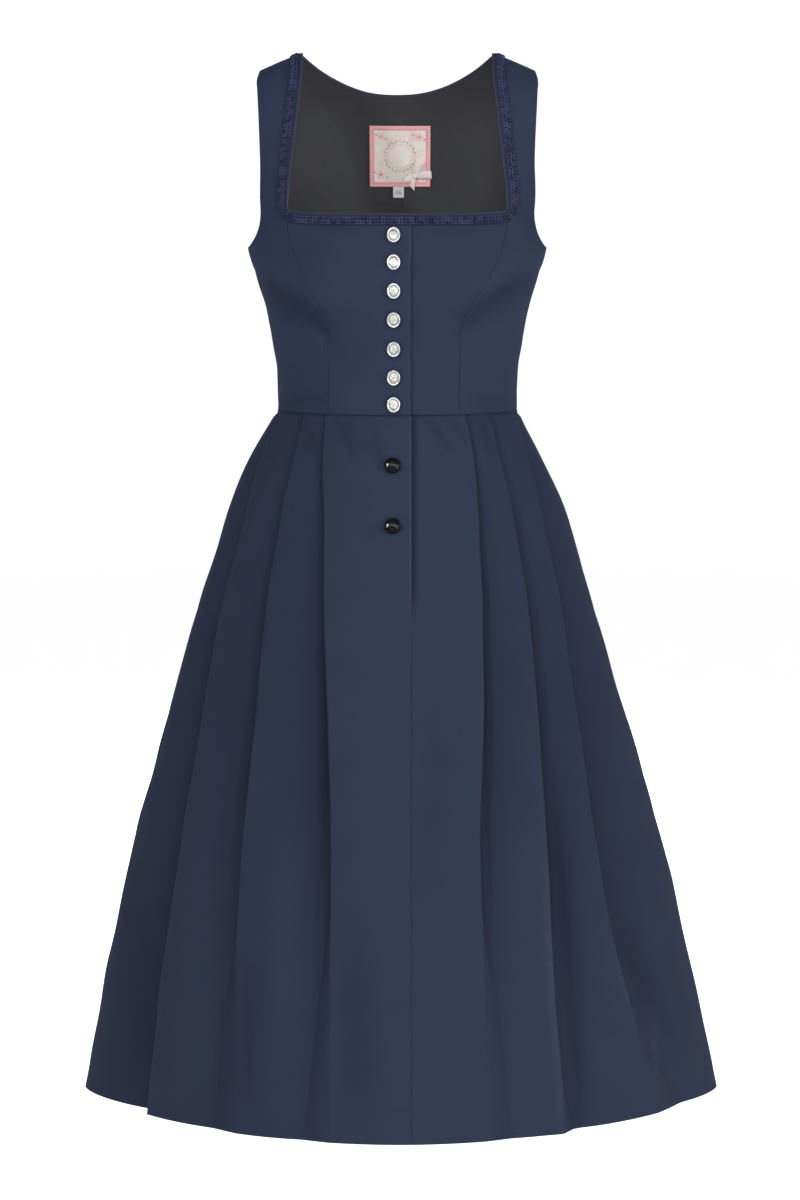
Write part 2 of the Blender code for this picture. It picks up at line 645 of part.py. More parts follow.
class Workshop:
    """Makes named objects, each in the dress's collection and with its own material."""

    def __init__(self):
        self.collection = bpy.data.collections.new("Dirndl")
        bpy.context.scene.collection.children.link(self.collection)
        self.materials = make_materials()

    def add(self, name, mesh, finish):
        """Put a mesh into the collection as a named object."""
        item = bpy.data.objects.new(name, mesh)
        material = self.materials[finish].copy()
        material.name = name.replace("_", " ")
        mesh.materials.append(material)
        self.collection.objects.link(item)
        return item

    def cloth(self, name, blocks, flip, wall, finish, offset=-1.0):
        """Loft an open sheet through rows of points and give it a wall."""
        shape = bmesh.new()
        for rows in blocks:
            grid = [[shape.verts.new(point * MM) for point in row] for row in rows]
            for upper, lower in zip(grid, grid[1:]):
                for column in range(len(upper) - 1):
                    corners = [upper[column], lower[column], lower[column + 1], upper[column + 1]]
                    shape.faces.new(reversed(corners) if flip else corners)
        bmesh.ops.remove_doubles(shape, verts=shape.verts, dist=SAME_POINT * MM)
        mesh = bpy.data.meshes.new(name)
        shape.to_mesh(mesh)
        shape.free()
        mesh.shade_smooth()
        item = self.add(name, mesh, finish)
        solidify = item.modifiers.new("Wall", "SOLIDIFY")
        solidify.thickness = wall * MM
        solidify.offset = offset
        solidify.use_even_offset = True
        return item

    def button(self, name, profile, point, normal, oval, finish):
        """Turn a button's profile and stand it on the cloth."""
        mesh = bpy.data.meshes.new(name)
        points = [(radius * MM, 0.0, height * MM) for radius, height in profile]
        mesh.from_pydata(points, [(i, i + 1) for i in range(len(points) - 1)], [])
        item = self.add(name, mesh, finish)
        turn = item.modifiers.new("Turn", "SCREW")
        turn.axis = "Z"
        turn.steps = TURN_STEPS
        turn.render_steps = TURN_STEPS
        turn.use_merge_vertices = True
        turn.merge_threshold = SAME_POINT * MM
        upward = (Vector((0, 0, 1)) - normal * normal.z).normalized()
        across = upward.cross(normal)
        facing = Matrix((across, upward, normal)).transposed().to_4x4()
        size = Matrix.Diagonal((oval[0], oval[1], 1.0, 1.0))
        item.matrix_world = Matrix.Translation(point * MM) @ facing @ size
        return item


def build_bodice(workshop):
    """Front and back panels of the bodice."""
    for word, hand in HANDS.items():
        workshop.cloth(f"bodice_front_side_{word}", front_side_blocks(hand), hand == RIGHT,
                       BODICE_WALL, "navy cloth")
        workshop.cloth(f"bodice_front_centre_{word}", [front_centre_rows(hand)], hand == RIGHT,
                       BODICE_WALL, "navy cloth")
        workshop.cloth(f"bodice_back_side_{word}", [back_side_rows(hand, 0.0)], hand == LEFT,
                       BODICE_WALL, "navy cloth")
    workshop.cloth("bodice_back_centre", [back_centre_rows(0.0)], True, BODICE_WALL, "navy cloth")


def build_lining(workshop):
    """Charcoal lining, from the back panels' points moved in."""
    lift = -(BODICE_WALL + GAP + LINING_EASE)
    workshop.cloth("lining_back_centre", [back_centre_rows(lift)], True, LINING_WALL, "charcoal lining")
    for word, hand in HANDS.items():
        workshop.cloth(f"lining_back_side_{word}", [back_side_rows(hand, lift)], hand == LEFT,
                       LINING_WALL, "charcoal lining")


def build_braid(workshop):
    """Braid along the neckline, from the front panels' points moved out."""
    for word, hand in HANDS.items():
        workshop.cloth(f"braid_{word}", [braid_pairs(hand)], hand == RIGHT, BRAID_WALL, "blue braid",
                       offset=1.0)


def build_skirt(workshop):
    """Four pleated quarters."""
    for place, face in (("front", FRONT), ("back", BACK)):
        for word, hand in HANDS.items():
            workshop.cloth(f"skirt_{place}_{word}", [skirt_rows(face, hand)], face * hand > 0,
                           SKIRT_WALL, "navy cloth", offset=0.0)


def build_buttons(workshop):
    """Metal buttons down the bodice, black ones on the skirt's placket."""
    for number, drop in enumerate(METAL_BUTTON_DROPS):
        angle = -angle_at(BUTTON_ACROSS, drop)
        workshop.button(f"button_metal_{number + 1}", METAL_BUTTON, bodice_point(FRONT, angle, drop, GAP),
                        bodice_normal(FRONT, angle, drop), METAL_BUTTON_OVAL, "silver metal")
    for number, drop in enumerate(BLACK_BUTTON_DROPS):
        reach = SKIRT_WALL / 2 + GAP
        level, lower = (Ring(FRONT, RIGHT, reached, reached) for reached in (drop, drop + DROP_STEP))
        middle = level.place(BLACK_BUTTON_ACROSS, 0.0)
        below = lower.place(BLACK_BUTTON_ACROSS, 0.0)
        beside = level.place(BLACK_BUTTON_ACROSS + DROP_STEP, 0.0)
        normal = (beside - middle).cross(below - middle).normalized()
        workshop.button(f"button_black_{number + 1}", BLACK_BUTTON, middle + normal * reach, normal,
                        (1.0, 1.0), "black gloss")


def inside_back(across, drop, lift):
    """Point inside the back, on or in front of the lining."""
    return bodice_point(BACK, angle_at(across, drop), drop, lift)


def build_label(workshop):
    """Neck label on the lining, with a ribbon bow on it and a size tag below it."""
    lift = -(BODICE_WALL + LINING_WALL + LINING_EASE + 2 * GAP + LABEL_EASE)
    left, top = LABEL_CENTRE[0] - LABEL_SIDE / 2, LABEL_CENTRE[1] - LABEL_SIDE / 2
    steps = np.linspace(0.0, LABEL_SIDE, LABEL_COLUMNS)
    rows = [[inside_back(left + across, top + down, lift) for across in steps] for down in steps]
    workshop.cloth("neck_label", [rows], True, LABEL_WALL, "pink and beige label")

    tag_top = top + LABEL_SIDE + GAP
    rows = [[inside_back(TAG_CENTRE + across, tag_top + down, lift)
             for across in (-TAG_WIDTH / 2, 0.0, TAG_WIDTH / 2)] for down in (0.0, TAG_LENGTH)]
    workshop.cloth("size_tag", [rows], True, LABEL_WALL, "white tag")

    bow_lift = lift - LABEL_WALL - GAP - LABEL_EASE
    outline = []
    for lobe in BOW_LOBES:
        tip = math.hypot(lobe.reach, lobe.width / 2)
        spread = math.degrees(math.atan2(lobe.width / 2, lobe.reach))
        outline += [(lobe.angle - BOW_ROOT_ANGLE, BOW_KNOT), (lobe.angle - spread, tip),
                    (lobe.angle + spread, tip), (lobe.angle + BOW_ROOT_ANGLE, BOW_KNOT)]
    outline.append(outline[0])
    rim = [inside_back(BOW_CENTRE[0] + reach * math.cos(math.radians(angle)),
                       BOW_CENTRE[1] - reach * math.sin(math.radians(angle)), bow_lift)
           for angle, reach in outline]
    knot = [inside_back(BOW_CENTRE[0], BOW_CENTRE[1], bow_lift)] * len(rim)
    workshop.cloth("label_bow", [[rim, knot]], False, LABEL_WALL, "pale pink satin")


def main():
    """Clear the scene and build the dress."""
    for item in list(bpy.data.objects):
        bpy.data.objects.remove(item, do_unlink=True)
    workshop = Workshop()
    build_bodice(workshop)
    build_lining(workshop)
    build_braid(workshop)
    build_skirt(workshop)
    build_buttons(workshop)
    build_label(workshop)


main()
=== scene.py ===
"""Looks of a sleeveless midi dirndl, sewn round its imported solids.

The front faces -Y, and the wearer's right has negative X. Sizes are in millimetres until a mesh is
made. A drop is measured down from the origin, which lies between the shoulder straps, and a distance
across is measured from the centre line.
"""

from __future__ import annotations

import logging
import math
from dataclasses import dataclass, field, fields, replace
from enum import Enum
from typing import Iterable, NamedTuple, Sequence, Union

import bpy
import numpy as np
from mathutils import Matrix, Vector

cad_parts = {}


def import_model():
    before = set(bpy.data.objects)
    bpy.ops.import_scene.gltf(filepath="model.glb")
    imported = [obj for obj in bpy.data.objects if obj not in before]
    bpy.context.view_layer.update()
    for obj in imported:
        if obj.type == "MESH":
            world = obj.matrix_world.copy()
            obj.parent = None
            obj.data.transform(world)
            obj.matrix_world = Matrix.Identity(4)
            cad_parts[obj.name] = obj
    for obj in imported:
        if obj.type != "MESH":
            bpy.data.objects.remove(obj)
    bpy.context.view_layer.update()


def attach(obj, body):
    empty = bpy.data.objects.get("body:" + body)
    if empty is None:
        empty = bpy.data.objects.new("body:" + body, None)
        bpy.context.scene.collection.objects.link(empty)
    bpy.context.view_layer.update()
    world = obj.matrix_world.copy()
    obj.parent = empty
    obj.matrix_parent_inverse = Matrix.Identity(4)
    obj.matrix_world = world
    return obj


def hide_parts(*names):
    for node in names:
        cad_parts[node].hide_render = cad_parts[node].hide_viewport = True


Array = np.ndarray
Colour = tuple[float, float, float]
Socket = bpy.types.NodeSocket
Feed = Union[Socket, float, Sequence[float], str, None]

MM = 0.001
GAP = 0.3
TINY = 1e-9
SEAM_SHADE_WIDTH = 1.6
CREASE_END_POWER = 0.75
BODY = "root"
THREAD_MAP = "Cloth"
NODE_ROWS, NODE_WIDTH, NODE_HEIGHT = 6, 180.0, 200.0

log = logging.getLogger("dirndl")


class Side(Enum):
    """One of two sides, with the sign of its direction."""

    @property
    def word(self) -> str:
        """The side in small letters, for names."""
        return self.name.lower()


class Face(Side):
    """Front or back of the dress, by the sign of its Y direction."""

    FRONT = -1
    BACK = 1


class Hand(Side):
    """The wearer's hand, by the sign of its X direction."""

    RIGHT = -1
    LEFT = 1


# Levels, widths and walls that several pieces share


@dataclass(frozen=True)
class Pattern:
    """Driving sizes of the cut."""

    waist_drop: float = 354.0
    hem_drop: float = 1045.5
    strap_end_drop: float = 150.0
    underarm_drop: float = 192.0
    corner_drop: float = 156.0
    back_seam_drop: float = 115.0
    lap_edge: float = 13.5
    underlap_edge: float = 15.0
    lap_rise: float = 10.5
    bodice_wall: float = 1.5
    skirt_wall: float = 1.2
    lining_lift: float = -2.1
    lining_wall: float = 1.0
    braid_width: float = 11.0
    metal_across: float = -3.8
    metal_drops: tuple[float, ...] = (177.6, 203.7, 231.3, 259.2, 288.1, 316.4, 342.9)
    metal_radii: tuple[float, float] = (6.7, 7.9)
    black_across: float = -4.8
    black_drops: tuple[float, ...] = (402.0, 460.0)
    black_radius: float = 7.6

    @property
    def metal_spots(self) -> list[tuple[float, float]]:
        """Distance across and drop of each metal button."""
        return [(self.metal_across, drop) for drop in self.metal_drops]

    @property
    def black_spots(self) -> list[tuple[float, float]]:
        """Distance across and drop of each black button."""
        return [(self.black_across, drop) for drop in self.black_drops]


PATTERN = Pattern()


# Curves, creases and unevenness


def smooth_step(share: Array) -> Array:
    """Ease a share between 0 and 1 in and out."""
    clipped = np.clip(share, 0.0, 1.0)
    return clipped * clipped * (3.0 - 2.0 * clipped)


def eased(value: float, low: float, high: float) -> float:
    """Ease one value's share of the way from low to high."""
    return float(smooth_step(np.array((value - low) / (high - low))))


def share_between(value: float, ends: tuple[float, float]) -> float:
    """How far a value is from one end to the other, from 0 to 1."""
    return min(max((value - ends[0]) / (ends[1] - ends[0]), 0.0), 1.0)


def unit(vectors: Array) -> Array:
    """Vectors made one long."""
    return vectors / np.maximum(np.linalg.norm(vectors, axis=-1, keepdims=True), TINY)


def travelled(first: Array, second: Array) -> Array:
    """Distance travelled along a line to each of its points, from their two coordinates."""
    return np.concatenate([[0.0], np.cumsum(np.hypot(np.diff(first), np.diff(second)))])


class Curve:
    """A smooth line through a table's values, read at any drop."""

    def __init__(self, drops: Sequence[float], values: Sequence[float], rolled: bool = False) -> None:
        """Keep the knots and their slopes.

        Args:
            drops: Where the values stand.
            values: What the curve passes through.
            rolled: Whether it runs in the square root of the drop, as over a shoulder.
        """
        self.rolled = rolled
        self.knots = np.sqrt(drops) if rolled else np.array(drops, dtype=float)
        self.values = np.array(values, dtype=float)
        self.slopes = np.gradient(self.values, self.knots)

    def __call__(self, drop: Array | float) -> Array:
        """Values at the given drops.

        Args:
            drop: Where the curve is read.

        Returns:
            A value for each drop.
        """
        spot = np.sqrt(np.maximum(drop, 0.0)) if self.rolled else np.asarray(drop, dtype=float)
        spot = np.clip(spot, self.knots[0], self.knots[-1])
        low = np.clip(np.searchsorted(self.knots, spot, side="right") - 1, 0, len(self.knots) - 2)
        width = self.knots[low + 1] - self.knots[low]
        t = (spot - self.knots[low]) / width
        rise = self.values[low] * (1 + 2 * t) * (1 - t) ** 2 + self.values[low + 1] * t * t * (3 - 2 * t)
        lean = self.slopes[low] * t * (1 - t) ** 2 - self.slopes[low + 1] * t * t * (1 - t)
        return rise + width * lean


def table_curve(rows: Sequence[NamedTuple], column: str, rolled: bool = False) -> Curve:
    """The curve through one named column of a table."""
    return Curve([row.drop for row in rows], [getattr(row, column) for row in rows], rolled)


class Crease(NamedTuple):
    """A soft ridge or trough, from one point across and down to another."""

    start: tuple[float, float]
    end: tuple[float, float]
    height: float
    width: float
    bow: float


def crease_table(*rows: tuple[float, ...]) -> tuple[Crease, ...]:
    """Creases from rows of: start across, start drop, end across, end drop, height, width, bow."""
    return tuple(Crease(row[:2], row[2:4], *row[4:]) for row in rows)


def crease_relief(creases: Iterable[Crease], across: Array, drop: Array) -> Array:
    """Height that a set of creases adds at each point.

    Args:
        creases: The ridges and troughs of one face.
        across: Signed distances from the centre line, towards the wearer's left.
        drop: Drops of the same points.

    Returns:
        Heights along the cloth's normal, below zero in a trough.
    """
    total = np.zeros(np.broadcast(across, drop).shape)
    for crease in creases:
        x0, d0 = crease.start
        run_x, run_d = crease.end[0] - x0, crease.end[1] - d0
        length = math.hypot(run_x, run_d)
        along = ((across - x0) * run_x + (drop - d0) * run_d) / length ** 2
        aside = ((across - x0) * run_d - (drop - d0) * run_x) / length
        aside = aside - crease.bow * 4.0 * along * (1.0 - along)
        ends = np.clip(along * (1.0 - along) * 4.0, 0.0, 1.0) ** CREASE_END_POWER
        total = total + crease.height * ends * np.exp(-((aside / crease.width) ** 2))
    return total


class Dimple(NamedTuple):
    """Painted shadow round a button: strength, and start and width in shares of the button's size, and how
    far below the button it sits.
    """

    strength: float = 0.7
    start: float = 0.95
    width: float = 0.26
    lower: float = 0.7


BUTTON_SHADOW = Dimple()


def button_shade(across: Array, drop: Array, spots: Iterable[tuple[float, float]],
                 radii: tuple[float, float]) -> Array:
    """How much painted shadow darkens the cloth round the edge of each button.

    Args:
        across: Signed distances from the centre line.
        drop: Drops of the same points.
        spots: Distance across and drop of each button.
        radii: Half width and half height of the buttons.

    Returns:
        A value from 0 to 1 for each point.
    """
    total = np.zeros(np.broadcast(across, drop).shape)
    for spot_across, spot_drop in spots:
        below = drop - spot_drop - BUTTON_SHADOW.lower
        reach = np.hypot((across - spot_across) / radii[0], below / radii[1])
        away = np.maximum(reach - BUTTON_SHADOW.start, 0.0) / BUTTON_SHADOW.width
        total = total + BUTTON_SHADOW.strength * np.exp(-(away ** 2))
    return total


@dataclass(frozen=True)
class Unevenness:
    """Gentle waves of cloth that no table lists, the same on every run."""

    size: float
    height: float
    seed: int
    waves: int = 14
    spread: tuple[float, float] = (0.7, 1.8)

    def __call__(self, across: Array, drop: Array) -> Array:
        """Heights at points across and down the cloth.

        Args:
            across: Signed distances from the centre line.
            drop: Drops of the points.

        Returns:
            A height for each point.
        """
        draw = np.random.default_rng(self.seed)
        total = np.zeros(np.broadcast(across, drop).shape)
        for _ in range(self.waves):
            turn, phase = draw.uniform(0.0, 2.0 * math.pi, 2)
            length = self.size * draw.uniform(*self.spread)
            pull = 2.0 * math.pi / length
            total += np.cos(pull * (math.cos(turn) * across + math.sin(turn) * drop) + phase)
        return total * self.height / math.sqrt(self.waves / 2.0)


@dataclass
class CreasedForm:
    """What the bodice's and the skirt's form share: creases, waves, and the painted highlight and painted
    shade of their cloth.
    """

    front_creases: tuple[Crease, ...]
    back_creases: tuple[Crease, ...]
    front_waves: Unevenness
    back_waves: Unevenness
    # Crease heights at which the painted highlight on ridges and the painted shade in troughs are full, and
    # the strength of the painted shade along the waist seam.
    high_crease: float
    deep_crease: float
    seam_depth: float

    def creased(self, face: Face, across: Array, drop: Array | float) -> Array:
        """Height of a face's creases alone."""
        return crease_relief(getattr(self, f"{face.word}_creases"), across, drop)

    def wavy(self, face: Face, across: Array, drop: Array | float) -> Array:
        """Height of a face's creases and unevenness together."""
        return self.creased(face, across, drop) + getattr(self, f"{face.word}_waves")(across, drop)

    def cloth_marks(self, face: Face, across: Array, drop: Array | float, deep: Array | float,
                    buttons: tuple[Iterable[tuple[float, float]], tuple[float, float]]) -> Array:
        """How much painted highlight lightens the cloth on crease ridges, and how much painted shade darkens
        it.

        Args:
            face: Front or back.
            across: Signed distances from the centre line.
            drop: Drops of the same points.
            deep: Painted shade that folds already lay on each point.
            buttons: Where the front's buttons are, and their half width and half height.

        Returns:
            The two marks of each point.
        """
        creases = self.creased(face, across, drop)
        # Painted highlight on crease ridges.
        rub_and_highlight = (np.maximum(creases, 0.0) / self.high_crease) ** 2
        # Painted shade in crease troughs.
        deep = deep + np.maximum(-creases, 0.0) / self.deep_crease
        # Painted shade along the waist seam.
        deep = deep + self.seam_depth * np.exp(-((drop - PATTERN.waist_drop) / SEAM_SHADE_WIDTH) ** 2)
        # Painted shadow round each button on the front.
        if face is Face.FRONT:
            deep = deep + button_shade(across, drop, *buttons)
        return np.stack([rub_and_highlight, np.clip(deep, 0.0, 1.0)], -1)


# Sheets of cloth and the shells made from them


@dataclass
class Shell:
    """A closed skin round a sheet, ready to be a mesh.

    Marks say how much rubbing and painted highlight lighten each point, and how much painted shade darkens
    it.
    """

    points: Array
    quads: Array
    cloth_map: Array
    marks: Array
    inner: Array


@dataclass
class Sheet:
    """An open sheet of cloth, gathered from grids of points."""

    points: list[Array] = field(default_factory=list)
    maps: list[Array] = field(default_factory=list)
    marks: list[Array] = field(default_factory=list)
    quads: list[Array] = field(default_factory=list)
    count: int = 0

    def add_grid(self, points: Array, cloth_map: Array, marks: Array | None = None,
                 flip: bool = False) -> Sheet:
        """Add a grid of points, which may share an edge with an earlier one.

        Args:
            points: Rows by columns by 3.
            cloth_map: Rows by columns by 2, in metres along the threads.
            marks: Rows by columns by 2, from 0 to 1, for rubbing with painted highlight and for painted
                shade.
            flip: Whether the faces are wound the other way.

        Returns:
            The sheet itself.
        """
        rows, columns = points.shape[:2]
        index = np.arange(rows * columns).reshape(rows, columns) + self.count
        quad = np.stack([index[:-1, :-1], index[1:, :-1], index[1:, 1:], index[:-1, 1:]], -1).reshape(-1, 4)
        self.quads.append(quad[:, ::-1] if flip else quad)
        self.points.append(points.reshape(-1, 3))
        self.maps.append(cloth_map.reshape(-1, 2))
        marks = np.zeros((rows, columns, 2)) if marks is None else marks
        self.marks.append(marks.reshape(-1, 2))
        self.count += rows * columns
        return self

    def welded(self) -> tuple[Array, Array, Array, Array]:
        """Points, quads, maps and marks, with doubled points made one."""
        points = np.concatenate(self.points)
        _, first, back = np.unique(np.round(points, 2), axis=0, return_index=True, return_inverse=True)
        quads = back.reshape(-1)[np.concatenate(self.quads)]
        return points[first], quads, np.concatenate(self.maps)[first], np.concatenate(self.marks)[first]

    def shell(self, low: float | Array, high: float, rim_steps: int = 3, tuck: float = 0.13,
              square: float = 0.5) -> Shell:
        """Give the sheet a wall with an edge that is rounded off.

        Args:
            low: Height of the inner skin along the normal, one value or one a point.
            high: Height of the outer skin.
            rim_steps: Rings of points round the edge.
            tuck: How far the edge may stand out past the sheet's own edge.
            square: Power of the edge's section, 1 for a half round and less for a squarer one.

        Returns:
            The closed shell.
        """
        points, quads, maps, marks = self.welded()
        low = np.broadcast_to(low, (len(points),))[:, None] * np.ones((len(points), 1))
        normals = vertex_normals(points, quads)
        edges = rim_edges(quads)
        outward = rim_directions(points, normals, edges)
        rim = np.unique(edges)
        radius = (high - low) / 2.0
        points = points.copy()
        points[rim] -= outward[rim] * np.maximum(radius[rim] - tuck, 0.0)
        count = len(points)
        skins = [points + normals * high, points + normals * low]
        order = np.full(count, -1)
        order[rim] = np.arange(len(rim))
        rings = []
        for step in range(1, rim_steps + 1):
            turn = math.pi * step / (rim_steps + 1)
            middle = points + normals * (high + low) / 2.0
            rise = math.copysign(abs(math.cos(turn)) ** square, math.cos(turn))
            ring = middle + normals * radius * rise + outward * radius * math.sin(turn) ** square
            rings.append(ring[rim])
        rows = [edges] + [order[edges] + 2 * count + len(rim) * step for step in range(rim_steps)]
        rows.append(edges + count)
        bands = [np.stack([a[:, 1], a[:, 0], b[:, 0], b[:, 1]], 1) for a, b in zip(rows, rows[1:])]
        all_quads = np.concatenate([quads, quads[:, ::-1] + count] + bands)
        inner = np.zeros(len(all_quads), dtype=int)
        inner[len(quads):2 * len(quads)] = 1
        return Shell(
            points=np.concatenate(skins + rings),
            quads=all_quads,
            cloth_map=np.concatenate([maps, maps] + [maps[rim]] * rim_steps),
            marks=np.concatenate([marks, marks] + [marks[rim]] * rim_steps),
            inner=inner,
        )


def vertex_normals(points: Array, quads: Array) -> Array:
    """Normals at the points of a sheet, weighted by the faces' areas.

    Args:
        points: Points of the sheet.
        quads: Its faces, four point numbers each.

    Returns:
        A normal for each point.
    """
    a, b, c, d = (points[quads[:, corner]] for corner in range(4))
    face = np.cross(c - a, d - b)
    normals = np.zeros_like(points)
    for corner in range(4):
        np.add.at(normals, quads[:, corner], face)
    return unit(normals)


def rim_edges(quads: Array) -> Array:
    """Directed edges that only one face uses.

    Args:
        quads: The sheet's faces, four point numbers each.

    Returns:
        The first and second point of each edge.
    """
    edges = np.concatenate([np.stack([quads[:, i], quads[:, (i + 1) % 4]], 1) for i in range(4)])
    edges = edges[edges[:, 0] != edges[:, 1]]
    _, first, counts = np.unique(np.sort(edges, 1), axis=0, return_index=True, return_counts=True)
    return edges[first[counts == 1]]


def rim_directions(points: Array, normals: Array, edges: Array) -> Array:
    """Directions out of the sheet at its rim, and zero elsewhere.

    Args:
        points: Points of the sheet.
        normals: Normals at the points.
        edges: Directed edges of the rim.

    Returns:
        A direction for each point.
    """
    run = points[edges[:, 1]] - points[edges[:, 0]]
    out = np.cross(run, normals[edges[:, 0]] + normals[edges[:, 1]])
    total = np.zeros_like(points)
    np.add.at(total, edges[:, 0], out)
    np.add.at(total, edges[:, 1], out)
    return unit(total)


def ring_quads(shape: tuple[int, int], poles: tuple[int, ...] = ()) -> Array:
    """Quads between closed rings of points.

    Args:
        shape: How many rings, and how many points in each.
        poles: Rings whose points are all one point.

    Returns:
        The quads' point numbers.
    """
    index = np.arange(shape[0] * shape[1]).reshape(shape)
    for pole in poles:
        index[pole] = index[pole, 0]
    following = np.roll(index, -1, axis=1)
    return np.stack([index[:-1], index[1:], following[1:], following[:-1]], -1).reshape(-1, 4)


def turned_body(radii: Array, heights: Array, around: int, poles: tuple[int, ...]) -> tuple[Array, Array]:
    """A body turned on its upright axis.

    Args:
        radii: Radius of each ring.
        heights: Height of each ring, one value or one for each point round it.
        around: Points in each ring.
        poles: Rings that lie on the axis.

    Returns:
        Points and quads.
    """
    turns = np.arange(around) * 2.0 * math.pi / around
    radii = np.broadcast_to(radii[:, None], (len(radii), around))
    heights = np.broadcast_to(heights if heights.ndim == 2 else heights[:, None], radii.shape)
    points = np.stack([radii * np.cos(turns), radii * np.sin(turns), heights], -1).reshape(-1, 3)
    return points, ring_quads(radii.shape, poles)


def tube(path: Array, upward: Array, radius: float | Array, sides: int) -> tuple[Array, Array]:
    """Sweep a round section along a path and close its ends.

    Args:
        path: Points of the centre line.
        upward: A direction across the path at each point.
        radius: Radius of the section, one value or one a point.
        sides: Points round the section.

    Returns:
        Points and quads of the closed tube.
    """
    run = unit(np.gradient(path, axis=0))
    aside = unit(np.cross(run, upward))
    lift = np.cross(aside, run)
    reach = np.broadcast_to(radius, (len(path),))[:, None, None]
    turns = np.arange(sides) * 2.0 * math.pi / sides
    section = np.cos(turns)[None, :, None] * aside[:, None] + np.sin(turns)[None, :, None] * lift[:, None]
    rings = (path[:, None] + section * reach).reshape(-1, 3)
    quads = ring_quads((len(path), sides))[:, [0, 3, 2, 1]]
    first, last = len(rings), len(rings) + 1
    start, following = np.arange(sides), np.roll(np.arange(sides), -1)
    end, beyond = start + first - sides, following + first - sides
    caps = [np.stack([np.full(sides, first), following, start, start], -1),
            np.stack([np.full(sides, last), end, beyond, beyond], -1)]
    return np.concatenate([rings, path[:1], path[-1:]]), np.concatenate([quads] + caps)


def polygons(quads: Array) -> list[tuple[int, ...]]:
    """Faces as tuples, with a repeated corner dropped."""
    return [tuple(dict.fromkeys(quad)) for quad in quads.tolist()]


# Shader and geometry trees


class Graph:
    """A node tree being built."""

    def __init__(self, tree: bpy.types.NodeTree) -> None:
        """Start on an empty tree."""
        self.tree = tree
        self.placed = 0

    def add(self, kind: str, **settings: object) -> bpy.types.Node:
        """Place a node and set its properties.

        Args:
            kind: The node's type.
            settings: Its properties by name.

        Returns:
            The new node.
        """
        node = self.tree.nodes.new(kind)
        column, row = divmod(self.placed, NODE_ROWS)
        node.location = (NODE_WIDTH * column, -NODE_HEIGHT * row)
        self.placed += 1
        for name, value in settings.items():
            setattr(node, name, value)
        return node

    def feed(self, node: bpy.types.Node, **values: Feed) -> bpy.types.Node:
        """Set or link a node's inputs, named with _ for a space.

        Args:
            node: The node to feed.
            values: A socket to link from or a value to hold, for each named input.

        Returns:
            The same node.
        """
        for name, value in values.items():
            wanted = name.replace("_", " ").strip()
            target = next(s for s in node.inputs if s.name == wanted and s.enabled)
            if isinstance(value, bpy.types.NodeSocket):
                self.tree.links.new(value, target)
            else:
                target.default_value = value
        return node

    def out(self, node: bpy.types.Node, name: str = "") -> Socket:
        """A node's output, the first if no name is given."""
        return next(s for s in node.outputs if s.enabled and name in ("", s.name))

    def math(self, operation: str, first: Feed, second: Feed = None, third: Feed = None) -> Socket:
        """Place a Math node and return its value.

        Args:
            operation: What the node works out.
            first: First value or socket.
            second: Second one, if any.
            third: Third one, if any.

        Returns:
            The result's socket.
        """
        node = self.add("ShaderNodeMath", operation=operation)
        for socket, value in zip(node.inputs, (first, second, third)):
            if isinstance(value, bpy.types.NodeSocket):
                self.tree.links.new(value, socket)
            elif value is not None:
                socket.default_value = value
        return node.outputs[0]

    def mix(self, share: Feed, first: Feed, second: Feed) -> Socket:
        """Mix two colours and return the result.

        Args:
            share: How much of the second.
            first: First colour or socket.
            second: Second one.

        Returns:
            The result's socket.
        """
        node = self.add("ShaderNodeMix", data_type="RGBA")
        self.feed(node, Factor=share, A=first, B=second)
        return self.out(node, "Result")

    def noise(self, vector: Socket, scale: float, detail: float = 2.0, roughness: float = 0.5) -> Socket:
        """Place a noise texture and return its value.

        Args:
            vector: Where it is read.
            scale: How fine it is.
            detail: How many finer layers it has.
            roughness: How strong those are.

        Returns:
            The value's socket.
        """
        node = self.add("ShaderNodeTexNoise")
        self.feed(node, Vector=vector, Scale=scale, Detail=detail, Roughness=roughness)
        return self.out(node)

    def stretch(self, vector: Socket, scale: Sequence[float]) -> Socket:
        """Scale a vector by an amount along each axis.

        Args:
            vector: The vector's socket.
            scale: The amounts.

        Returns:
            The result's socket.
        """
        node = self.add("ShaderNodeVectorMath", operation="MULTIPLY")
        self.tree.links.new(vector, node.inputs[0])
        node.inputs[1].default_value = scale
        return node.outputs[0]

    def attribute(self, name: str, output: str = "Fac") -> Socket:
        """Read a value that each point of the mesh has."""
        return self.out(self.add("ShaderNodeAttribute", attribute_name=name), output)

    def group(self, tree: bpy.types.NodeTree, **values: Feed) -> bpy.types.Node:
        """Place a shader group and feed it."""
        return self.feed(self.add("ShaderNodeGroup", node_tree=tree), **values)

    def bump(self, height: Socket, distance: float, **more: Feed) -> Socket:
        """Raise the surface by a height that stands for a distance in millimetres."""
        node = self.add("ShaderNodeBump")
        return self.out(self.feed(node, Strength=1.0, Distance=distance * MM, Height=height, **more))


def colour4(colour: Colour) -> tuple[float, float, float, float]:
    """A colour with full opacity."""
    return (*colour, 1.0)


def new_material(name: str) -> tuple[bpy.types.Material, Graph, bpy.types.Node]:
    """Start a material.

    Args:
        name: Name of the material.

    Returns:
        The material, its graph and its shader.
    """
    material = bpy.data.materials.new(name)
    material.use_nodes = True
    return material, Graph(material.node_tree), material.node_tree.nodes["Principled BSDF"]


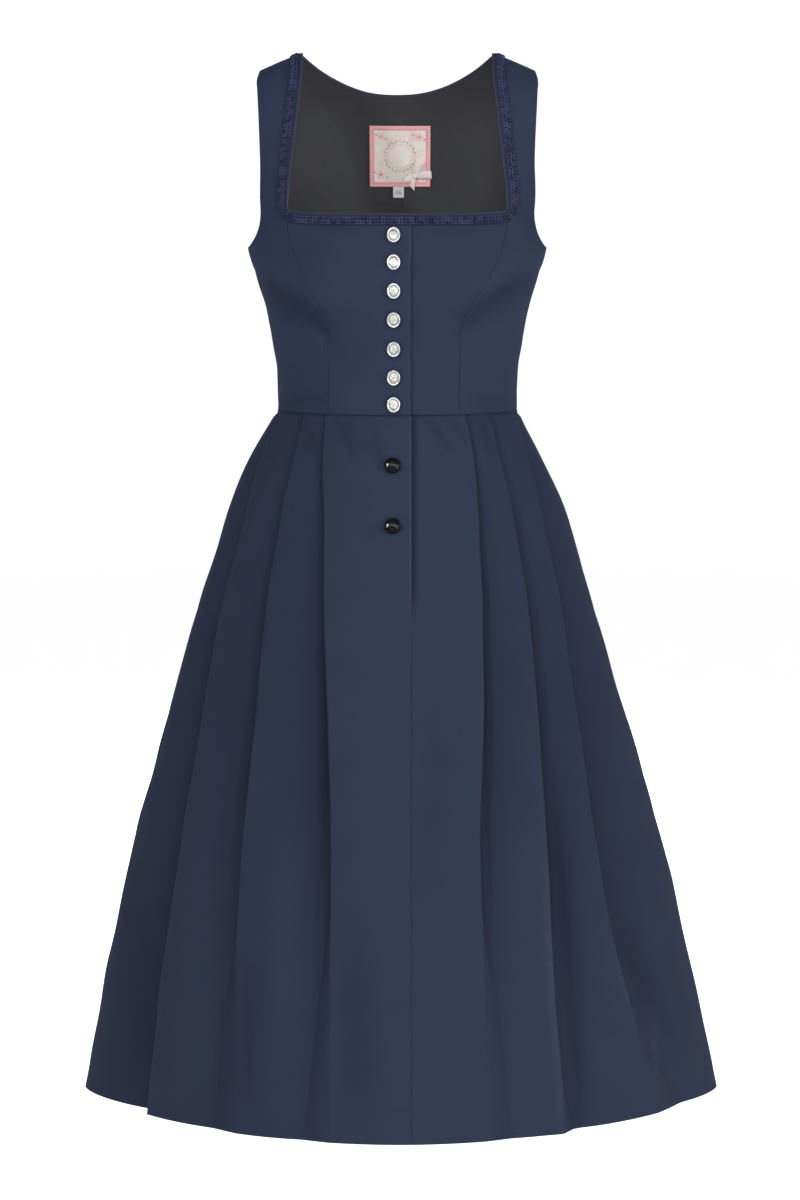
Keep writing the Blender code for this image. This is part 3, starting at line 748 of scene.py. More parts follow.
@dataclass
class GroupKit:
    """Shader groups that more than one finish uses."""

    slub_scales: tuple[tuple[float, float, float], ...] = ((1600.0, 60.0, 1.0), (45.0, 1600.0, 1.0))
    fine_scale: float = 900.0
    fine_share: float = 0.3
    wear_scale: float = 140.0
    wear_spread: tuple[float, float] = (1.6, -0.2)

    def __post_init__(self) -> None:
        """Build each group once."""
        self.weave = self._weave()
        self.mottle = self._mottle()
        self.wear = self._wear()

    @staticmethod
    def _open(name: str, inputs: dict[str, str], outputs: dict[str, str]) -> tuple[Graph, bpy.types.Node]:
        """Start a shader group with named inputs and outputs.

        Args:
            name: Name of the group.
            inputs: Kind of each input, by its name.
            outputs: Kind of each output, by its name.

        Returns:
            The graph, and the node that brings the inputs in.
        """
        tree = bpy.data.node_groups.new(name, "ShaderNodeTree")
        for way, sockets in (("INPUT", inputs), ("OUTPUT", outputs)):
            for label, kind in sockets.items():
                tree.interface.new_socket(label, in_out=way, socket_type=f"NodeSocket{kind}")
        graph = Graph(tree)
        return graph, graph.add("NodeGroupInput")

    def _weave(self) -> bpy.types.NodeTree:
        """Plain weave: threads over and under each other, thicker and thinner along their length."""
        graph, given = self._open("Plain weave", {"Vector": "Vector", "Threads": "Float"},
                                  {"Height": "Float", "Slub": "Float"})
        split = graph.add("ShaderNodeSeparateXYZ")
        graph.feed(split, Vector=given.outputs["Vector"])
        strands = []
        counts = [graph.math("MULTIPLY", split.outputs[axis], given.outputs["Threads"]) for axis in (0, 1)]
        for own, other in ((counts[0], counts[1]), (counts[1], counts[0])):
            ridge = graph.math("ABSOLUTE", graph.math("SINE", graph.math("MULTIPLY", own, math.pi)))
            parity = graph.math("MULTIPLY", graph.math("FLOOR", own), math.pi)
            shift = parity if own is counts[0] else graph.math("ADD", parity, math.pi)
            wave = graph.math("SINE", graph.math("MULTIPLY_ADD", other, math.pi, shift))
            over = graph.math("MULTIPLY_ADD", wave, 0.5, 0.5)
            strands.append(graph.math("MULTIPLY", ridge, over))
        height = graph.math("MAXIMUM", strands[0], strands[1])
        slubs = [graph.noise(graph.stretch(given.outputs["Vector"], scales), 1.0)
                 for scales in self.slub_scales]
        slub = graph.math("MULTIPLY", graph.math("ADD", *slubs), 0.5)
        graph.feed(graph.add("NodeGroupOutput"), Height=height, Slub=slub)
        return graph.tree

    def _mottle(self) -> bpy.types.NodeTree:
        """Broad, soft and fine variation together."""
        graph, given = self._open("Cloth mottle", {"Vector": "Vector", "Scale": "Float"}, {"Value": "Float"})
        broad = graph.add("ShaderNodeTexNoise")
        graph.feed(broad, Vector=given.outputs["Vector"], Scale=given.outputs["Scale"], Detail=4.0)
        fine = graph.noise(given.outputs["Vector"], self.fine_scale, 1.0)
        fine = graph.math("MULTIPLY", fine, self.fine_share)
        both = graph.math("MULTIPLY_ADD", graph.out(broad), 1.0 - self.fine_share, fine)
        graph.feed(graph.add("NodeGroupOutput"), Value=both)
        return graph.tree

    def _wear(self) -> bpy.types.NodeTree:
        """Lighter edges where the cloth rubs, and painted highlights on folds, ridges and the lap's edge,
        broken up so that no edge lightens evenly.
        """
        graph, given = self._open("Edge wear", {"Vector": "Vector", "Press": "Float", "Amount": "Float"},
                                  {"Mask": "Float"})
        broken = graph.noise(given.outputs["Vector"], self.wear_scale, 3.0, 0.65)
        broken = graph.math("MULTIPLY_ADD", broken, *self.wear_spread)
        spread = graph.math("MULTIPLY", broken, given.outputs["Press"])
        mask = graph.math("MULTIPLY", spread, given.outputs["Amount"])
        graph.feed(graph.add("NodeGroupOutput"), Mask=mask)
        return graph.tree


@dataclass(frozen=True)
class ClothFinish:
    """A woven finish, read along the cloth's own threads."""

    name: str
    colour: Colour
    light: Colour
    # Lighter colour of edges where the cloth rubs, and of painted highlights.
    worn: Colour
    threads: float
    weave: float
    crumple: float
    roughness: float
    sheen: float
    sheen_tint: Colour
    wear: float = 0.3
    specular: float = 0.25
    # Darker tint that the painted shade multiplies into the colour.
    depth: Colour = (0.55, 0.49, 0.64)
    uses_shade: bool = False
    uses_print: bool = False
    tone_range: tuple[float, float] = (0.3, 0.7)
    mottle_scale: float = 18.0
    crumple_scale: float = 55.0
    shade_share: float = 0.8
    print_dimmed: float = 0.9
    slub_height: float = 0.6
    slub_roughness: float = 0.14
    sheen_roughness: float = 0.45

    def material(self, groups: GroupKit) -> bpy.types.Material:
        """Build the material.

        Args:
            groups: The shared shader groups.

        Returns:
            The finished material.
        """
        material, graph, shader = new_material(self.name)
        where = graph.add("ShaderNodeUVMap", uv_map=THREAD_MAP).outputs[0]
        weave = graph.group(groups.weave, Vector=where, Threads=self.threads).outputs
        mottle = graph.out(graph.group(groups.mottle, Vector=where, Scale=self.mottle_scale))
        # Edges where the cloth rubs, and painted highlights on fold edges, crease ridges and the lap's edge,
        # lighten the colour.
        wear = graph.group(groups.wear, Vector=where, Press=graph.attribute("Press"), Amount=self.wear)
        lively = graph.math("MULTIPLY_ADD", weave["Slub"], 0.5, graph.math("MULTIPLY", mottle, 0.5))
        if self.uses_shade:
            rest = graph.math("MULTIPLY", lively, 1.0 - self.shade_share)
            lively = graph.math("MULTIPLY_ADD", graph.attribute("Shade"), self.shade_share, rest)
        ramp = graph.add("ShaderNodeMapRange", clamp=True)
        graph.feed(ramp, Value=lively, From_Min=self.tone_range[0], From_Max=self.tone_range[1])
        dark, light = colour4(self.colour), colour4(self.light)
        if self.uses_print:
            light = graph.attribute("Print", "Color")
            dimmed = graph.add("ShaderNodeHueSaturation")
            dark = graph.out(graph.feed(dimmed, Color=light, Value=self.print_dimmed))
        base = graph.mix(graph.out(ramp), dark, light)
        base = graph.mix(graph.out(wear), base, colour4(self.worn))
        # Painted shade: the colour is multiplied by a darker tint in folds, crease troughs, the waist seam,
        # under the lap, under the braid's lanes and round buttons.
        sunk = graph.add("ShaderNodeMix", data_type="RGBA", blend_type="MULTIPLY")
        graph.feed(sunk, Factor=graph.attribute("Recess"), A=base, B=colour4(self.depth))
        crumple = graph.bump(graph.noise(where, self.crumple_scale, 3.0, 0.55), self.crumple)
        height = graph.math("MULTIPLY_ADD", weave["Slub"], self.slub_height, weave["Height"])
        rough = graph.math("MULTIPLY_ADD", weave["Slub"], self.slub_roughness,
                           self.roughness - self.slub_roughness / 2)
        graph.feed(shader, Base_Color=graph.out(sunk, "Result"), Roughness=rough,
                   Normal=graph.bump(height, self.weave, Normal=crumple), Specular_IOR_Level=self.specular,
                   Sheen_Weight=self.sheen, Sheen_Roughness=self.sheen_roughness,
                   Sheen_Tint=colour4(self.sheen_tint))
        return material


@dataclass(frozen=True)
class HardFinish:
    """A cast or moulded finish, darker in its hollows."""

    name: str
    colour: Colour
    hollow: Colour
    metallic: float
    roughness: float
    hollow_roughness: float
    scratch: float
    specular: float = 0.5
    grime_scale: float = 900.0
    grime_spread: tuple[float, float] = (0.8, 0.55)
    rub_scales: tuple[float, float, float] = (2600.0, 700.0, 2600.0)
    rub_roughness: float = 0.12

    def material(self) -> bpy.types.Material:
        """Build the material."""
        material, graph, shader = new_material(self.name)
        where = graph.out(graph.add("ShaderNodeTexCoord"), "Object")
        grime = graph.noise(where, self.grime_scale, 4.0, 0.6)
        grime = graph.math("MULTIPLY_ADD", grime, *self.grime_spread)
        filled = graph.math("MULTIPLY", graph.attribute("Hollow"), grime)
        rub_and_highlight = graph.noise(graph.stretch(where, self.rub_scales), 1.0, 3.0, 0.6)
        rough = graph.math("MULTIPLY_ADD", rub_and_highlight, self.rub_roughness,
                           self.roughness - self.rub_roughness / 2)
        rough = graph.math("MULTIPLY_ADD", filled, self.hollow_roughness - self.roughness, rough)
        graph.feed(shader, Base_Color=graph.mix(filled, colour4(self.colour), colour4(self.hollow)),
                   Roughness=rough, Normal=graph.bump(rub_and_highlight, self.scratch), Metallic=self.metallic,
                   Specular_IOR_Level=self.specular)
        return material


@dataclass(frozen=True)
class FinishSet:
    """Every finish of the dress."""

    navy: ClothFinish = ClothFinish(
        name="Navy cotton", colour=(0.0216, 0.0310, 0.0578), light=(0.0291, 0.0400, 0.0706),
        worn=(0.044, 0.056, 0.092), threads=2300.0, weave=0.050, crumple=0.22, roughness=0.78,
        sheen=0.05, sheen_tint=(0.42, 0.50, 0.72), specular=0.14)
    # A bluer copy of the navy, standing in for how the light falls on the bodice.
    bodice_navy: ClothFinish = replace(
        navy, name="Navy cotton of the bodice", colour=(0.0210, 0.0306, 0.0616),
        light=(0.0282, 0.0396, 0.0752))
    charcoal: ClothFinish = ClothFinish(
        name="Charcoal lining", colour=(0.039, 0.040, 0.0455), light=(0.051, 0.052, 0.0585),
        worn=(0.095, 0.095, 0.102), threads=2800.0, weave=0.030, crumple=0.30, roughness=0.66,
        sheen=0.05, sheen_tint=(0.7, 0.7, 0.75), specular=0.2)
    tape: ClothFinish = ClothFinish(
        name="Braid ground", colour=(0.0205, 0.0240, 0.0540), light=(0.0300, 0.0345, 0.0760),
        worn=(0.040, 0.042, 0.100), threads=1500.0, weave=0.12, crumple=0.10, roughness=0.80,
        sheen=0.05, sheen_tint=(0.4, 0.4, 0.8), specular=0.12)
    braid: ClothFinish = ClothFinish(
        name="Braid yarn", colour=(0.0150, 0.0180, 0.0500), light=(0.0700, 0.0820, 0.1650),
        worn=(0.10, 0.11, 0.20), threads=2600.0, weave=0.05, crumple=0.02, roughness=0.60,
        sheen=0.08, sheen_tint=(0.5, 0.5, 0.9), wear=0.2, uses_shade=True, specular=0.2)
    binding: ClothFinish = ClothFinish(
        name="Neckline binding", colour=(0.0330, 0.0370, 0.0640), light=(0.0430, 0.0480, 0.0800),
        worn=(0.07, 0.07, 0.10), threads=2400.0, weave=0.05, crumple=0.10, roughness=0.75,
        sheen=0.05, sheen_tint=(0.5, 0.5, 0.8), specular=0.15)
    label: ClothFinish = ClothFinish(
        name="Woven label", colour=(0.7, 0.6, 0.5), light=(0.8, 0.7, 0.6), worn=(0.85, 0.75, 0.70),
        threads=1900.0, weave=0.06, crumple=0.15, roughness=0.70, sheen=0.15, sheen_tint=(1.0, 0.9, 0.9),
        wear=0.15, uses_print=True)
    satin: ClothFinish = ClothFinish(
        name="Pink satin", colour=(0.90, 0.74, 0.74), light=(0.95, 0.85, 0.84), worn=(0.97, 0.90, 0.90),
        threads=3600.0, weave=0.012, crumple=0.05, roughness=0.32, sheen=0.20, sheen_tint=(1.0, 0.9, 0.9),
        wear=0.2, specular=0.6)
    white_tape: ClothFinish = ClothFinish(
        name="White tape", colour=(0.78, 0.78, 0.81), light=(0.88, 0.88, 0.90), worn=(0.92, 0.92, 0.94),
        threads=2200.0, weave=0.05, crumple=0.08, roughness=0.75, sheen=0.1, sheen_tint=(1.0, 1.0, 1.0))
    grey_thread: ClothFinish = ClothFinish(
        name="Grey thread", colour=(0.16, 0.16, 0.19), light=(0.24, 0.24, 0.28), worn=(0.3, 0.3, 0.34),
        threads=3000.0, weave=0.03, crumple=0.02, roughness=0.7, sheen=0.1, sheen_tint=(1.0, 1.0, 1.0))
    silver: HardFinish = HardFinish(
        name="Cast silver", colour=(0.90, 0.91, 0.88), hollow=(0.24, 0.26, 0.18), metallic=1.0,
        roughness=0.27, hollow_roughness=0.50, scratch=0.006)
    black: HardFinish = HardFinish(
        name="Black gloss", colour=(0.0035, 0.0035, 0.0045), hollow=(0.002, 0.002, 0.003), metallic=0.0,
        roughness=0.07, hollow_roughness=0.08, scratch=0.0005, specular=0.20)

    def materials(self) -> dict[str, bpy.types.Material]:
        """Build the material of every finish."""
        groups, made = GroupKit(), {}
        for spot in fields(self):
            finish = getattr(self, spot.name)
            given = (groups,) if isinstance(finish, ClothFinish) else ()
            made[spot.name] = finish.material(*given)
        return made


# Making pieces


def lay_threads(mesh: bpy.types.Mesh, cloth_map: Array) -> None:
    """Write each point's place on the cloth, in metres, as the mesh's thread map.

    Args:
        mesh: The mesh.
        cloth_map: Place of each point on the cloth.
    """
    layer = mesh.uv_layers.new(name=THREAD_MAP)
    corners = np.empty(len(mesh.loops), dtype=np.int32)
    mesh.loops.foreach_get("vertex_index", corners)
    layer.data.foreach_set("uv", cloth_map[corners].astype(np.float32).ravel())


def set_values(mesh: bpy.types.Mesh, name: str, kind: str, key: str, numbers: Array) -> None:
    """Write a point attribute of the given kind."""
    attribute = mesh.attributes.new(name, kind, "POINT")
    attribute.data.foreach_set(key, numbers.astype(np.float32).ravel())


def plain_map(points: Array) -> Array:
    """Place on the cloth straight from the points, for small things."""
    return np.stack([points[:, 0] + points[:, 1], points[:, 2]], 1)


def mesh_points(mesh: bpy.types.Mesh) -> Array:
    """A mesh's points, a row each.

    Args:
        mesh: The mesh.

    Returns:
        A point for each vertex, a row each.
    """
    spots = np.empty(len(mesh.vertices) * 3)
    mesh.vertices.foreach_get("co", spots)
    return spots.reshape(-1, 3)


def evaluated(holder: bpy.types.Object, name: str) -> bpy.types.Mesh:
    """Take the mesh that an object evaluates to, under a name, and remove the object.

    Args:
        holder: The object, with its modifiers.
        name: Name of the new mesh.

    Returns:
        The new mesh.
    """
    shown = holder.evaluated_get(bpy.context.evaluated_depsgraph_get())
    mesh = bpy.data.meshes.new_from_object(shown)
    mesh.name = name
    bpy.data.objects.remove(holder, do_unlink=True)
    return mesh


class Maker:
    """Turns points into named pieces, dressed and riding on the dress's one body."""

    def __init__(self) -> None:
        """Make the collection and every material."""
        self.collection = bpy.data.collections.new("Dirndl")
        bpy.context.scene.collection.children.link(self.collection)
        self.materials = FinishSet().materials()

    def mesh(self, name: str, points: Array, quads: Array, cloth_map: Array | None = None,
             values: dict[str, Array] | None = None) -> bpy.types.Mesh:
        """Make a mesh with its thread map and its point values.

        Args:
            name: Name of the mesh.
            points: Points in millimetres.
            quads: Faces of four corners, one of which may repeat.
            cloth_map: Place of each point on the cloth, in metres.
            values: Point attributes by name, of one number a point or a colour.

        Returns:
            The new mesh.
        """
        mesh = bpy.data.meshes.new(name)
        mesh.from_pydata((points * MM).tolist(), [], polygons(quads))
        if cloth_map is not None:
            lay_threads(mesh, cloth_map)
        for label, numbers in (values or {}).items():
            kind, key = ("FLOAT", "value") if numbers.ndim == 1 else ("FLOAT_COLOR", "color")
            set_values(mesh, label, kind, key, numbers)
        mesh.shade_smooth()
        return mesh

    def place(self, mesh: bpy.types.Mesh, slot: str, replaces: Sequence[str] = ()) -> bpy.types.Object:
        """Put a mesh into the scene as a piece that rides on the dress.

        Args:
            mesh: The finished mesh.
            slot: Not used.
            replaces: The solids that it stands for.

        Returns:
            The new object.
        """
        piece = bpy.data.objects.new(mesh.name, mesh)
        self.collection.objects.link(piece)
        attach(piece, BODY)
        if replaces:
            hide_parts(*replaces)
        log.info("%s: %d faces", piece.name, len(mesh.polygons))
        return piece

    def solid(self, name: str, body: tuple[Array, Array], finish: str, slot: str,
              replaces: Sequence[str] = (), cloth_map: Array | None = None, **values: Array) -> None:
        """Make a piece of one finish from a closed body.

        Args:
            name: Name of the piece.
            body: Points and quads.
            finish: Its finish.
            slot: Name of a material slot, passed on to place.
            replaces: The solids that it stands for.
            cloth_map: Place of each point on the cloth, in metres.
            values: Point attributes by name.
        """
        mesh = self.mesh(name, *body, cloth_map, values)
        mesh.materials.append(self.materials[finish])
        self.place(mesh, slot, replaces)

    def cloth(self, name: str, shell: Shell, outer: str, inner: str, slot: str,
              replaces: Sequence[str] = (), extra: dict[str, Array] | None = None) -> bpy.types.Object:
        """Make a piece of cloth from a shell.

        Args:
            name: Name of the piece.
            shell: The closed shell.
            outer: Finish of the outer skin.
            inner: Finish of the inner skin.
            slot: Name of a material slot, passed on to place.
            replaces: The solids that it stands for.
            extra: More point values.

        Returns:
            The new object.
        """
        # Rubbing with painted highlight, and painted shade, go on as point values.
        values = {"Press": shell.marks[:, 0], "Recess": shell.marks[:, 1], **(extra or {})}
        mesh = self.mesh(name, shell.points, shell.quads, shell.cloth_map, values)
        mesh.materials.append(self.materials[outer])
        if inner != outer:
            mesh.materials.append(self.materials[inner])
            mesh.polygons.foreach_set("material_index", shell.inner.astype(np.int32))
        return self.place(mesh, slot, replaces)


# Rows of small things along a path


@dataclass
class RowKit:
    """Geometry trees that set small things along a path."""

    tones: tuple[float, float] = (0.25, 0.75)
    tone_seed: int = 7
    ring_points: int = 10
    strand_sides: int = 5
    stitch_sides: int = 6
    stitch_rings: int = 4

    def __post_init__(self) -> None:
        """Build each tree once."""
        self.knots = self._row("Braid knots", rings=True)
        self.stitches = self._row("Stitch row", rings=False)

    def _row(self, name: str, rings: bool) -> bpy.types.NodeTree:
        """Build a tree that repeats a knot or a stitch along the given path.

        Args:
            name: Name of the tree.
            rings: Whether each thing is a looped strand, or a plain stitch.

        Returns:
            The tree.
        """
        tree = bpy.data.node_groups.new(name, "GeometryNodeTree")
        tree.is_modifier = True
        face = tree.interface
        face.new_socket("Geometry", in_out="INPUT", socket_type="NodeSocketGeometry")
        for label in ("Pitch", "Length", "Width", "Strand", "Slant", "Tilt"):
            face.new_socket(label, in_out="INPUT", socket_type="NodeSocketFloat")
        face.new_socket("Material", in_out="INPUT", socket_type="NodeSocketMaterial")
        face.new_socket("Geometry", in_out="OUTPUT", socket_type="NodeSocketGeometry")
        graph = Graph(tree)
        given = graph.add("NodeGroupInput").outputs
        line = graph.feed(graph.add("GeometryNodeMeshToCurve"), Mesh=given["Geometry"])
        even = graph.add("GeometryNodeResampleCurve", mode="LENGTH")
        graph.feed(even, Curve=graph.out(line), Length=given["Pitch"])
        chance = graph.add("FunctionNodeRandomValue", data_type="FLOAT")
        graph.feed(chance, Min=self.tones[0], Max=self.tones[1], Seed=self.tone_seed)
        store = graph.add("GeometryNodeStoreNamedAttribute", data_type="FLOAT", domain="POINT")
        graph.feed(store, Geometry=graph.out(even), Name="Shade", Value=graph.out(chance))
        thing = self._ring(graph, given) if rings else self._stitch(graph, given)
        upward = graph.add("GeometryNodeInputNamedAttribute", data_type="FLOAT_VECTOR")
        graph.feed(upward, Name="Up")
        side = graph.add("GeometryNodeInputNamedAttribute", data_type="FLOAT")
        graph.feed(side, Name="Lane")
        along = graph.add("FunctionNodeAlignRotationToVector", axis="X")
        graph.feed(along, Vector=graph.out(graph.add("GeometryNodeInputTangent")))
        raised = graph.add("FunctionNodeAlignRotationToVector", axis="Z", pivot_axis="X")
        graph.feed(raised, Rotation=graph.out(along), Vector=graph.out(upward, "Attribute"))
        slant = graph.math("MULTIPLY", graph.out(side, "Attribute"), given["Slant"])
        turns = graph.add("ShaderNodeCombineXYZ")
        graph.feed(turns, X=given["Tilt"], Z=slant)
        turned = graph.add("FunctionNodeRotateRotation", rotation_space="LOCAL")
        graph.feed(turned, Rotation=graph.out(raised), Rotate_By=graph.out(turns))
        copies = graph.add("GeometryNodeInstanceOnPoints")
        graph.feed(copies, Points=graph.out(store), Instance=thing, Rotation=graph.out(turned))
        real = graph.feed(graph.add("GeometryNodeRealizeInstances"), Geometry=graph.out(copies))
        smooth = graph.feed(graph.add("GeometryNodeSetShadeSmooth"), Geometry=graph.out(real))
        dressed = graph.add("GeometryNodeSetMaterial")
        graph.feed(dressed, Geometry=graph.out(smooth), Material=given["Material"])
        graph.feed(graph.add("NodeGroupOutput"), Geometry=graph.out(dressed))
        return tree

    def _ring(self, graph: Graph, given: bpy.types.bpy_prop_collection) -> Socket:
        """A strand looped into a long ring.

        Args:
            graph: The graph to build in.
            given: The tree's inputs.

        Returns:
            The strand's geometry.
        """
        circle = graph.add("GeometryNodeCurvePrimitiveCircle", mode="RADIUS")
        graph.feed(circle, Resolution=self.ring_points, Radius=0.5)
        shape = graph.add("ShaderNodeCombineXYZ")
        graph.feed(shape, X=given["Length"], Y=given["Width"], Z=1.0)
        oval = graph.add("GeometryNodeTransform")
        graph.feed(oval, Geometry=graph.out(circle), Scale=graph.out(shape))
        section = graph.add("GeometryNodeCurvePrimitiveCircle", mode="RADIUS")
        graph.feed(section, Resolution=self.strand_sides, Radius=given["Strand"])
        strand = graph.add("GeometryNodeCurveToMesh")
        graph.feed(strand, Curve=graph.out(oval), Profile_Curve=graph.out(section))
        return graph.out(strand)

    def _stitch(self, graph: Graph, given: bpy.types.bpy_prop_collection) -> Socket:
        """A plain stitch, thick in its middle.

        Args:
            graph: The graph to build in.
            given: The tree's inputs.

        Returns:
            The stitch's geometry.
        """
        ball = graph.add("GeometryNodeMeshUVSphere")
        graph.feed(ball, Segments=self.stitch_sides, Rings=self.stitch_rings, Radius=0.5)
        shape = graph.add("ShaderNodeCombineXYZ")
        graph.feed(shape, X=given["Length"], Y=given["Width"], Z=given["Strand"])
        stitch = graph.add("GeometryNodeTransform")
        graph.feed(stitch, Geometry=graph.out(ball), Scale=graph.out(shape))
        return graph.out(stitch)

    def run(self, maker: Maker, tree: bpy.types.NodeTree, name: str,
            lanes: Sequence[tuple[Array, Array, float]], finish: str, slot: str, **sizes: float) -> None:
        """Set a tree's things along paths and make the result a plain piece.

        Args:
            maker: The piece maker.
            tree: The tree to run.
            name: Name of the piece.
            lanes: For each path its points, the directions that are up there, and its side.
            finish: Finish of the things.
            slot: Name of a material slot, passed on to maker.place.
            sizes: The tree's sizes by name, lengths in millimetres and turns in degrees.
        """
        path = bpy.data.meshes.new(f"{name}_path")
        points = np.concatenate([lane[0] for lane in lanes])
        starts = np.cumsum([0] + [len(lane[0]) for lane in lanes])
        edges = [(i, i + 1) for low, high in zip(starts, starts[1:]) for i in range(low, high - 1)]
        path.from_pydata((points * MM).tolist(), edges, [])
        set_values(path, "Up", "FLOAT_VECTOR", "vector", np.concatenate([lane[1] for lane in lanes]))
        sides = np.concatenate([np.full(len(lane[0]), lane[2]) for lane in lanes])
        set_values(path, "Lane", "FLOAT", "value", sides)
        guide = bpy.data.objects.new(f"{name}_path", path)
        maker.collection.objects.link(guide)
        modifier = guide.modifiers.new("Row", "NODES")
        modifier.node_group = tree
        given = [item for item in tree.interface.items_tree if item.in_out == "INPUT"]
        sockets = {item.name: item.identifier for item in given}
        for label, size in sizes.items():
            turned = label in ("slant", "tilt")
            modifier[sockets[label.capitalize()]] = math.radians(size) if turned else size * MM
        modifier[sockets["Material"]] = maker.materials[finish]
        mesh = evaluated(guide, name)
        bpy.data.meshes.remove(path)
        lay_threads(mesh, plain_map(mesh_points(mesh)))
        maker.place(mesh, slot)


# The bodice's form


class Section(NamedTuple):
    """Half width, depths and fullness of the bodice at a drop."""

    drop: float
    half: float
    front: float
    back: float
    front_power: float
    back_power: float


class Edge(NamedTuple):
    """Distance of an edge or seam from the centre line at a drop."""

    drop: float
    across: float


@dataclass
class BodiceForm(CreasedForm):
    """The bodice as a body of unlike half ellipses, a row for each level."""

    sections: tuple[Section, ...] = (
        Section(0, 178.0, 0, 0, 0.80, 0.80),
        Section(20, 173.0, 36, 44, 0.80, 0.80),
        Section(45, 168.0, 52, 67, 0.80, 0.80),
        Section(80, 161.0, 66, 84, 0.80, 0.80),
        Section(120, 155.0, 81, 95, 0.80, 0.80),
        Section(160, 151.0, 96, 100, 0.80, 0.82),
        Section(192, 148.5, 105, 100, 0.82, 0.85),
        Section(221, 140.3, 109, 98, 0.85, 0.88),
        Section(246, 132.5, 108, 95, 0.88, 0.90),
        Section(275, 126.4, 103, 92, 0.92, 0.94),
        Section(306, 120.8, 97, 89, 0.97, 0.97),
        Section(330, 119.5, 94, 88, 1.00, 1.00),
        Section(354, 119.5, 93, 88, 1.00, 1.00),
    )
    neck_rows: tuple[Edge, ...] = (
        Edge(0, 96.0), Edge(20, 96.0), Edge(52, 99.5), Edge(84, 103.0), Edge(115, 107.0),
        Edge(135, 108.7), Edge(150, 109.4), Edge(156, 107.0),
    )
    arm_rows: tuple[Edge, ...] = (
        Edge(0, 136.5), Edge(15, 139.0), Edge(30, 138.3), Edge(60, 137.0), Edge(100, 135.3),
        Edge(150, 135.0), Edge(200, 128.0), Edge(250, 112.0), Edge(300, 105.0), Edge(354, 104.0),
    )
    back_arm_rows: tuple[Edge, ...] = (
        Edge(0, 136.5), Edge(15, 138.0), Edge(30, 137.0), Edge(60, 135.0), Edge(90, 133.5),
        Edge(115, 133.0), Edge(150, 113.0), Edge(200, 88.0), Edge(250, 67.0), Edge(300, 54.0),
        Edge(354, 48.0),
    )
    right_seam_rows: tuple[Edge, ...] = (
        Edge(156, 107.0), Edge(170, 107.9), Edge(194, 101.8), Edge(217, 91.0), Edge(237, 81.5),
        Edge(260, 71.5), Edge(300, 67.9), Edge(354, 68.2),
    )
    left_seam_rows: tuple[Edge, ...] = (
        Edge(156, 107.0), Edge(170, 106.6), Edge(194, 100.9), Edge(217, 90.0), Edge(237, 78.0),
        Edge(260, 65.5), Edge(300, 61.1), Edge(354, 61.3),
    )
    bust_across: float = 82.0
    bust_drop: float = 224.0
    bust_lift: float = 15.0
    bust_wide: float = 42.0
    bust_tall: float = 38.0
    neck_half: float = 96.0
    shoulder_half: float = 136.5
    shoulder_fall: float = 17.5
    fall_start: float = 93.0
    fall_power: float = 1.15
    shoulder_fade_drop: float = 90.0
    back_neck_drop: float = 40.5
    back_neck_power: float = 2.2
    front_neck_sag: float = 2.5
    front_neck_power: float = 6.0
    armhole_power: float = 2.4
    front_creases: tuple[Crease, ...] = crease_table(
        (-146, 215, -60, 279, -3.0, 12.0, 2.0), (-148, 186, -72, 250, 1.7, 12.0, 2.0),
        (-126, 256, -66, 286, 1.2, 8.0, -2.0), (-88, 258, -56, 290, -1.2, 5.0, 0.0),
        (-130, 284, -68, 318, 1.3, 15.0, 0.0), (146, 212, 54, 270, -3.0, 11.0, -3.0),
        (142, 184, 66, 250, 1.7, 12.0, -3.0), (122, 258, 60, 284, 1.2, 8.0, 2.0),
        (82, 252, 52, 284, -1.2, 5.0, 0.0), (126, 282, 64, 314, 1.2, 15.0, 0.0),
        (-120, 347, -66, 334, -1.3, 5.0, 1.0), (-112, 330, -74, 322, 0.9, 6.0, 0.0),
        (118, 345, 66, 338, -1.1, 5.0, -1.0), (112, 332, 70, 326, 0.8, 6.0, 0.0),
        (-104, 166, -40, 172, -0.9, 5.0, 1.0), (-60, 176, -24, 181, 0.5, 6.0, -1.0),
        (28, 170, 96, 168, -0.8, 5.0, -1.0), (-64, 250, -20, 262, -0.6, 11.0, 3.0),
        (24, 246, 62, 268, -0.6, 10.0, 2.0), (-112, 120, -132, 176, -0.7, 8.0, 3.0),
        (114, 112, 132, 170, -0.7, 8.0, -3.0), (-8, 190, -34, 186, 0.4, 5.0, 0.0),
        (-8, 246, -38, 250, 0.4, 5.0, 0.0), (-8, 300, -36, 296, 0.4, 5.0, 0.0))
    back_creases: tuple[Crease, ...] = crease_table(
        (-100, 196, -40, 236, -0.9, 11.0, 5.0), (104, 190, 36, 242, -0.9, 11.0, -6.0),
        (-60, 300, 10, 322, -0.8, 8.0, -4.0), (66, 308, -6, 334, 0.8, 8.0, 4.0),
        (-118, 130, -84, 196, -0.8, 9.0, 4.0), (118, 128, 88, 188, -0.7, 9.0, -4.0),
        (-50, 90, 46, 96, 0.6, 16.0, 5.0), (-110, 332, -56, 344, 0.8, 6.0, 2.0),
        (112, 330, 60, 345, 0.8, 6.0, -2.0))
    lining_creases: tuple[Crease, ...] = crease_table(
        (-67, 84, -79, 158, -1.1, 5.0, 2.0), (-112, 105, -58, 165, 1.6, 4.0, 1.0),
        (70, 80, 86, 150, -0.6, 8.0, -3.0), (-40, 146, 44, 152, 0.6, 9.0, 2.0))
    # Crease heights at which the painted highlight and the painted shade are full.
    high_crease: float = 1.5
    deep_crease: float = 4.6
    crease_fades: tuple[float, float] = (30.0, 12.0)
    seam_depth: float = 0.5
    front_waves: Unevenness = Unevenness(size=58.0, height=0.22, seed=11)
    back_waves: Unevenness = Unevenness(size=62.0, height=0.28, seed=12)

